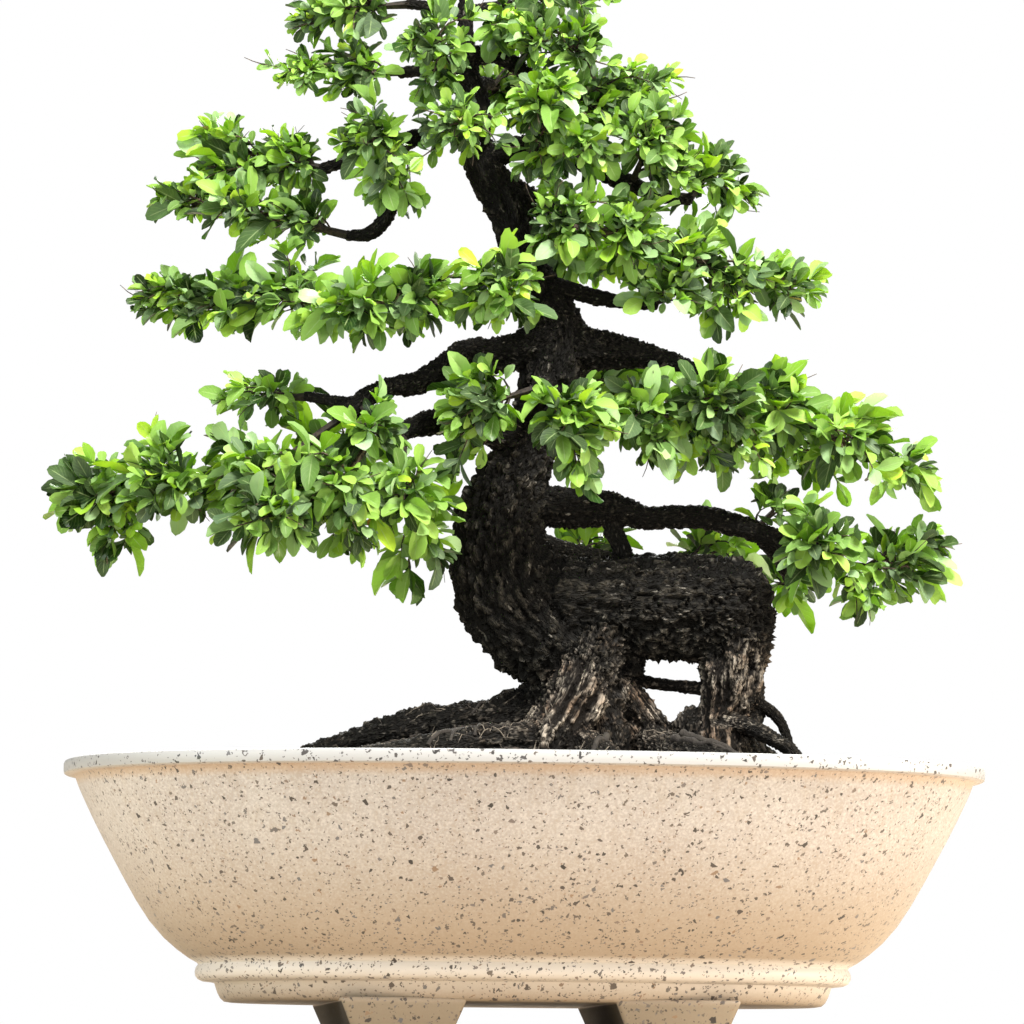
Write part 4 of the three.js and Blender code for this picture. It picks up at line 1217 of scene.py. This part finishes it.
def make_tree():
    """Its trunk with the roots and its bare branches, and the limbs' lines that they follow."""
    paleness = [evenly(0.0), evenly(0.05)] + [leg_paleness] * 3
    groups = [(stations, pale, STOUT_LUMPS) for stations, pale in zip(STOUT_LIMBS, paleness)]
    for kind, pale, lumps in OTHER_LIMBS:
        groups += [(stations, evenly(pale), lumps) for stations in kind]
    limbs = Limbs(groups)
    stout = [limb_line(stations, 0.008, SMOOTHED_OFF) for stations in STOUT_LIMBS + ROOT_LIMBS]
    for leg, (count, first, splay) in zip(STOUT_LIMBS[2:], LEG_STRANDS):
        stout += strands(leg, count, first, splay)
    slim = [limb_line(stations, 0.006, SMOOTHED_OFF / 2) for stations in MIDDLE_LIMBS + THIN_LIMBS]
    trunk = make_wood("trunk_and_roots", stout, limbs, **TRUNK_GRAIN)
    branches = make_wood("bare_branches", slim, limbs, **BRANCH_GRAIN)
    return limbs, trunk, branches


# Fold along the midrib, droop and twist of the modelled leaves
LEAF_BENDS = [(0.10, 0.10, 0.0), (0.20, 0.22, 0.6), (0.06, -0.06, -0.5), (0.14, 0.34, 0.3)]
LEAF_THICKNESS = 0.03
# How wide a leaf is at shares of its length, from its stalk to its blunt tip
LEAF_WIDTHS = [(0.0, 0.05), (0.18, 0.28), (0.40, 0.80), (0.65, 1.0), (0.87, 0.80), (1.0, 0.28)]


def model_leaf(fold, droop, twist):
    """One leaf, a unit long, as points, triangles, UV places and whether a face looks down."""
    rows = len(LEAF_WIDTHS)
    bpy.ops.mesh.primitive_grid_add(x_subdivisions=2, y_subdivisions=rows - 1, size=1)
    leaf = bpy.context.object
    outline = leaf.vertex_groups.new(name="outline")
    rim, middle = [], []
    for vertex in leaf.data.vertices:
        row = round((vertex.co.y + 0.5) * (rows - 1))
        along, width = LEAF_WIDTHS[row]
        out = vertex.co.x * 2
        sway = twist * math.sin(along * 5)
        vertex.co = (
            out * width * 0.5,
            along,
            fold * abs(out) * width - droop * along * along + sway * out * 0.12,
        )
        (rim if abs(out) > 0.5 or row == rows - 1 else middle).append(vertex.index)
    outline.add(rim, 0.0, "REPLACE")
    outline.add(middle, 1.0, "REPLACE")
    apply_modifier(
        leaf, "SOLIDIFY", thickness=LEAF_THICKNESS, offset=0, vertex_group="outline",
        use_even_offset=False)
    edit_outwards(leaf, 1e-4)
    apply_modifier(leaf, "TRIANGULATE")
    mesh = leaf.data
    points = vertex_places(mesh).copy()
    triangles = np.array([face.vertices[:] for face in mesh.polygons])
    places = np.array([tuple(corner.uv) for corner in mesh.uv_layers[0].data], np.float32)
    under = np.array([face.normal.z < 0 for face in mesh.polygons])
    bpy.data.objects.remove(leaf)
    return points, triangles, places, under


class Leaves:
    """The leaves of one spray, gathered as copies of the modelled ones."""

    def __init__(self, models):
        self.models = models
        self.parts = []

    def add(self, model, base, direction, upward, length, width, tone, sheen):
        side = direction.cross(upward).normalized()
        face = side.cross(direction)
        self.parts.append((
            model, base, side * width, direction * length, face * length, tone, sheen))

    def mesh(self, name):
        points, triangles, places, unders, tones, sheens = [], [], [], [], [], []
        count = 0
        for model, base, across, along, face, tone, sheen in self.parts:
            shape, faces, uv, under = self.models[model]
            matrix = np.array([across, along, face])
            points.append(shape @ matrix + np.array(base))
            triangles.append(faces + count)
            places.append(uv)
            unders.append(under)
            tones.append(np.full(len(shape), tone))
            sheens.append(np.full(len(shape), sheen))
            count += len(shape)
        mesh = bpy.data.meshes.new(name)
        corners = np.concatenate(triangles)
        mesh.vertices.add(count)
        mesh.vertices.foreach_set("co", np.concatenate(points).astype(np.float32).ravel())
        mesh.loops.add(corners.size)
        mesh.loops.foreach_set("vertex_index", corners.ravel().astype(np.int32))
        mesh.polygons.add(len(corners))
        mesh.polygons.foreach_set("loop_start", np.arange(0, corners.size, 3, dtype=np.int32))
        mesh.update(calc_edges=True)
        layer = mesh.uv_layers.new(name="UVMap")
        layer.data.foreach_set("uv", np.concatenate(places).ravel())
        add_float(mesh, "tone", np.concatenate(tones))
        add_float(mesh, "sheen", np.concatenate(sheens))
        add_float(mesh, "woody", np.zeros(count))
        attribute = mesh.attributes.new("under", "FLOAT", "FACE")
        attribute.data.foreach_set("value", np.concatenate(unders).astype(np.float32))
        mesh.validate()
        return mesh


# Share of the shoots that carry a bare twig
BARE_TWIGS = 0.3
# Area of a tuft for each of its shoots, in square millimetres
SHOOT_AREA = 65
# Share of the shoots that reach out of their tuft, and how far these and the others reach in it
STRAY_SHOOTS = 0.11
STRAY_REACH = (0.9, 1.25)
SHOOT_REACH = (0.36, 0.76)
# Share of the leaves that grow long, share that are dead, and how large these are for the others
LONG_LEAVES = 0.07
DEAD_LEAVES = 0.004
LONG_BY = 1.6
DEAD_BY = 0.6
# Breadth of a leaf for its length, and how rare leaves with a strong painted gloss are
LEAF_BREADTH = (0.42, 0.56)
SHEEN_RARITY = 1.9
# Small tufts that fill out sprays between and beside the tufts that the solids have
FINE_TUFTS = {
    "spray_left_high_inner": [[-114, -44, 744, 30, 24]],
    "spray_right_high_inner": [[132, -40, 760, 26, 18]],
    "spray_top_right_front": [[22, -50, 768, 28, 18]],
    "spray_right_middle_tip": [[128, -34, 654, 32, 16], [178, -30, 646, 30, 14]],
    "spray_right_long_inner": [[124, -66, 520, 28, 20], [184, -60, 514, 32, 18]],
    "spray_right_low_tip": [[300, -14, 394, 28, 18], [352, -14, 438, 22, 18]],
    "spray_left_low_tip": [[-350, -52, 436, 22, 20]],
    "spray_left_low_front": [[-142, -110, 436, 30, 20]],
    "spray_top_right": [[108, -4, 838, 28, 18]],
    "spray_left_high_tip": [[-260, -6, 792, 28, 16]],
    "spray_left_middle_tip": [[-322, -18, 650, 18, 14]],
    "spray_top_front": [[-76, -50, 836, 24, 16]],
    "spray_crown_left": [[-186, -6, 894, 20, 18]],
    "spray_crown_right": [[-14, -20, 890, 26, 20]],
    "spray_centre_left": [[-48, -70, 516, 24, 18]],
    "spray_centre_right": [[50, -100, 500, 16, 20]],
}
# Room that leaves and shoots keep from the wood, in metres
LEAF_ROOM = 0.005
TIP_ROOM = 0.008
# A shoot's radius and the distance between its leaves in metres, the most leaves along it, the
# leaves of the whorl at its tip, its vigour and its tone
TWIG_RADIUS = 0.0013
LEAF_GAP = 0.0075
MOST_LEAVES = 8
WHORL = (4, 7)
VIGOUR = (0.55, 1.4, 0.85)
SHOOT_TONES = (0.05, 0.67)
TONE_SPREAD = 0.28
# Sizes of a leaf in metres, and the turn from one leaf to the next along a shoot
LEAF_LENGTH = 0.0245
LONGEST_LEAF = 0.042
WIDEST_LEAF = 0.0165
LEAF_TURN = math.radians(137.5)


def outward_of(vector, aside):
    """A unit vector across the given one, turned by an angle around it."""
    across = vector.orthogonal().normalized()
    return Matrix.Rotation(aside, 3, vector) @ across


def grow_shoot(draws, root, tip, tuft, outlook, leaves, wood):
    """The line of a shoot from the stem to its tip, and its leaves."""
    length = (tip - root).length
    heading = (tip - root).normalized()
    bow = (outward_of(heading, draws.uniform(0, math.tau)) * 0.12 + Vector((0, 0, 0.1))) * length
    line = []
    for step in range(5):
        share = step / 4
        point = root.lerp(tip, share) + bow * 4 * share * (1 - share)
        line.append((point, TWIG_RADIUS * (1 - 0.62 * share)))
    along = min(MOST_LEAVES, max(2, round(length / LEAF_GAP)))
    turn = draws.uniform(0, math.tau)
    whorl = draws.randint(*WHORL)
    vigour = draws.triangular(*VIGOUR)
    shoot_tone = draws.uniform(*SHOOT_TONES)
    full_size = LEAF_LENGTH * vigour * tuft.leaf_size
    for number in range(along + whorl):
        turn += LEAF_TURN + draws.uniform(-0.3, 0.3)
        last = number >= along
        share = 0.94 + 0.06 * (number - along) / whorl if last else 0.3 + 0.6 * number / along
        base = root.lerp(tip, share) + bow * 4 * share * (1 - share)
        opening = draws.uniform(0.35, 1.2) if last else draws.uniform(0.85, 1.4)
        direction = heading * math.cos(opening) + outward_of(heading, turn) * math.sin(opening)
        direction += 0.2 * (base - tuft.centre).normalized() + 0.25 * tuft.flow
        direction.z -= draws.uniform(-0.25, 0.3)
        direction.normalize()
        upward = heading * 0.2 + Vector((0, 0, 0.8)) + outlook * 0.55
        upward += Vector([draws.uniform(-0.7, 0.7) for _ in range(3)])
        size = full_size * draws.triangular(0.45, 1.15, 0.85 if last else 0.65)
        if draws.random() < LONG_LEAVES:
            size *= LONG_BY
        size = min(size, LONGEST_LEAF)
        end = base + direction * size
        if wood_gap(wood, base.lerp(end, 0.7)) < LEAF_ROOM:
            continue
        # Painted light and shade: leaves on the outside and top of a tuft are lighter, inner and
        # lower ones darker, and leaves of sprays at the back a little lighter, for the light through
        # them from behind
        out = (base - tuft.centre).length / tuft.reach
        high = (base.z - tuft.centre.z) / tuft.reach
        tone = shoot_tone + draws.gauss(0, TONE_SPREAD) + 0.28 * (out - 0.55) + 0.16 * high
        tone += 0.05 * (1 + outlook.y)
        tone = min(0.95, max(0, tone))
        if draws.random() < DEAD_LEAVES:
            tone = 1.0
            size *= DEAD_BY
        sheen = draws.random() ** SHEEN_RARITY
        model = draws.randrange(len(leaves.models))
        width = min(size * draws.uniform(*LEAF_BREADTH), WIDEST_LEAF)
        leaves.add(model, base, direction, upward, size, width, tone, sheen)
    return line


# Size of the leaves on the low tiers, how much smaller they are in the crown, and between which
# heights in metres they grow smaller
LOW_LEAF = 1.22
SMALLER_ABOVE = 0.36
SMALLER_FROM = 0.50
SMALLER_OVER = 0.30


class Tuft:
    """One cloud of leaves: its middle, reach and flow, and how large its leaves are."""

    def __init__(self, start, station):
        across, deep, up, self.half_width, self.half_height = station
        self.centre = place((across, deep, up))
        self.reach = (self.half_width + self.half_height) / 2 * MM
        self.flow = (self.centre - start).normalized()
        # The low tiers bear larger leaves than the crown does, and a thin tuft bears small ones
        high = min(1, max(0, (self.centre.z - SMALLER_FROM) / SMALLER_OVER))
        fullness = min(1, 0.62 + self.half_height / 70)
        self.leaf_size = (LOW_LEAF - SMALLER_ABOVE * high) * fullness

    def tips(self, draws):
        """Places spread evenly over the tuft, at random depths in it, for the tips of shoots."""
        area = self.half_width * self.half_height
        count = max(5, round(area / SHOOT_AREA / self.leaf_size ** 1.6))
        first = draws.uniform(0, math.tau)
        for i in range(count):
            rise = (1 - 2 * (i + 0.5) / count) * 0.9 + 0.12
            flat = math.sqrt(max(0, 1 - rise * rise))
            turn = first + i * LEAF_TURN
            out = Vector((
                math.cos(turn) * flat * self.half_width,
                math.sin(turn) * flat * self.half_width * 0.85,
                rise * self.half_height)) * MM
            reach = STRAY_REACH if draws.random() < STRAY_SHOOTS else SHOOT_REACH
            yield self.centre + out * draws.uniform(*reach)


def bare_twig(draws, root, heading):
    """A fine leafless twig that goes on from a shoot's tip."""
    bend = outward_of(heading, draws.uniform(0, math.tau)) * draws.uniform(0.2, 0.6)
    length = draws.uniform(0.012, 0.026)
    return [(root + (heading + bend * share) * length * share, 0.0007 * (1 - 0.6 * share))
            for share in (0, 0.35, 0.7, 1)]


def wood_gap(wood, point):
    """How far a point is outside the surface of the tree's limbs."""
    return float((np.linalg.norm(wood.points - np.array(point), axis=1) - wood.radii).min())


# A stem's radius where it starts and where it ends, in millimetres
STEM_RADII = (4.0, 1.1)
# How far from the stem's start its wood looks old, in metres
OLD_WOOD = 0.09
# Sprays further back than this, in millimetres, look to the back
BACK_FROM = 20


def make_spray(number, name, start, tufts, models, wood):
    """A spray's stem, its shoots and their leaves, as one piece."""
    draws = random.Random(1000 + number)
    leaves = Leaves(models)
    points = [place(start)] + [place(tuft) for tuft in tufts]
    count = len(points) - 1
    thick, thin = STEM_RADII
    stem = [(point, (thick + (thin - thick) * along / count) * MM)
            for point, along in line_through(points, 0.008)]
    lines = [stem]
    outlook = place((0, 1 if tufts[0][1] > BACK_FROM else -1, 0)) - place((0, 0, 0))
    outlook.normalize()
    for station in tufts + FINE_TUFTS.get(name, []):
        tuft = Tuft(points[0], station)
        gaps = [(point - tuft.centre).length for point, _ in stem]
        near = gaps.index(min(gaps))
        for tip in tuft.tips(draws):
            root = stem[max(0, min(len(stem) - 1, near - draws.randint(0, 4)))][0]
            if wood_gap(wood, tip) < TIP_ROOM:
                continue
            lines.append(grow_shoot(draws, root, tip, tuft, outlook, leaves, wood))
            if draws.random() < BARE_TWIGS:
                lines.append(bare_twig(draws, tip, (tip - root).normalized()))
    spray = tubes(name.replace("spray", "leaves"), lines, 0)
    twigs = spray.data
    from_start = np.linalg.norm(vertex_places(twigs) - np.array(points[0]), axis=1)
    add_float(twigs, "woody", np.ones(len(twigs.vertices)))
    add_float(twigs, "tone", np.clip(from_start / OLD_WOOD, 0, 1))
    blades = bpy.data.objects.new("blades", leaves.mesh("blades"))
    bpy.context.collection.objects.link(blades)
    select_only(spray, blades)
    bpy.ops.object.join()
    smooth_by_angle(spray, 60)
    wear(spray, foliage_finish)
    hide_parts(name)
    return spray


# The floor: its radius, its middle and its colour
FLOOR_RADIUS = 3.0
FLOOR_MIDDLE = (0, 2.05, 0)
FLOOR_COLOUR = (0.60, 0.49, 0.37)


def make_stage():
    bpy.ops.mesh.primitive_circle_add(
        vertices=128, radius=FLOOR_RADIUS, fill_type="NGON", location=FLOOR_MIDDLE)
    floor = named(bpy.context.object, "floor")
    wear(floor, plain_finish("floor", FLOOR_COLOUR, 0.8))


# Colour and strength of the sky that lights the piece
SKY_COLOUR = (1.0, 1.0, 0.99, 1)
SKY_STRENGTH = 0.56
# Soft lamps: name, place, what each shines on, its width in metres, its watts and its colour
LAMPS = [
    ("key", (0.8, -1.7, 2.9), (0, 0, 0.5), 1.1, 225, (1, 0.99, 0.965)),
    ("side", (-2.4, -1.4, 1.1), (0, 0, 0.5), 1.4, 42, (0.90, 0.96, 1)),
    ("rear", (0.5, 2.3, 1.5), (0, 0, 0.5), 1.6, 115, (1, 1, 0.95)),
    ("front", (0.2, -3.6, 0.15), (0, 0, 0.2), 1.0, 22, (1, 0.97, 0.92)),
    ("lawn", (-1.3, -0.7, 0.06), (-0.3, 0, 0.10), 0.3, 1.6, (0.80, 1, 0.35)),
    ("right", (2.6, -0.9, 0.4), (0.2, 0, 0.2), 0.8, 66, (1, 0.90, 0.74)),
]


def add_light(name, position, target, size, power, colour):
    bpy.ops.object.light_add(type="AREA", location=position)
    light = bpy.context.object
    light.name = name
    light.data.shape = "DISK"
    light.data.size = size
    light.data.energy = power
    light.data.color = colour
    light.rotation_euler = (Vector(target) - Vector(position)).to_track_quat("-Z", "Y").to_euler()


def light_scene():
    """White behind the piece, a softer sky that lights it, and soft lamps."""
    world = bpy.data.worlds.new("world")
    world.use_nodes = True
    nodes, links = world.node_tree.nodes, world.node_tree.links
    backdrop = nodes["Background"]
    backdrop.inputs["Color"].default_value = (1, 1, 1, 1)
    backdrop.inputs["Strength"].default_value = 1.0
    sky = nodes.new("ShaderNodeBackground")
    sky.inputs["Color"].default_value = SKY_COLOUR
    sky.inputs["Strength"].default_value = SKY_STRENGTH
    ray = nodes.new("ShaderNodeLightPath")
    mix = nodes.new("ShaderNodeMixShader")
    links.new(ray.outputs["Is Camera Ray"], mix.inputs[0])
    links.new(sky.outputs[0], mix.inputs[1])
    links.new(backdrop.outputs[0], mix.inputs[2])
    links.new(mix.outputs[0], nodes["World Output"].inputs["Surface"])
    bpy.context.scene.world = world
    for lamp in LAMPS:
        add_light(*lamp)


def add_camera():
    position = place((0, -CAMERA_DISTANCE, CAMERA_HEIGHT))
    aim = place(CAMERA_AIM)
    bpy.ops.object.camera_add(location=position)
    camera = bpy.context.object
    camera.data.sensor_width = 36
    camera.data.lens = CAMERA_LENS
    turn = (aim - position).to_track_quat("-Z", "Y").to_matrix()
    camera.rotation_euler = (turn @ Matrix.Rotation(CAMERA_ROLL, 3, "Z")).to_euler()
    bpy.context.scene.camera = camera


bpy.context.scene.view_settings.view_transform = "Standard"
add_camera()
light_scene()
make_stage()
bark_finish = bark()
foliage_finish = foliage()
earth_finish = earth()
pot = make_pot()
soil = make_soil()
limbs, trunk, branches = make_tree()
ground = solid_bvh(soil, trunk)
rootlets = lay_rootlets(ground)
surface_roots = lay_surface_roots(ground)
crumbs = scatter_crumbs(solid_bvh(soil), earth_finish)
leaf_models = [model_leaf(*bends) for bends in LEAF_BENDS]
sprays = [
    make_spray(number, *spray, leaf_models, limbs) for number, spray in enumerate(SPRAYS)]
for piece in [pot, soil, trunk, branches, rootlets, surface_roots, crumbs, *sprays]:
    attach(piece, "root")
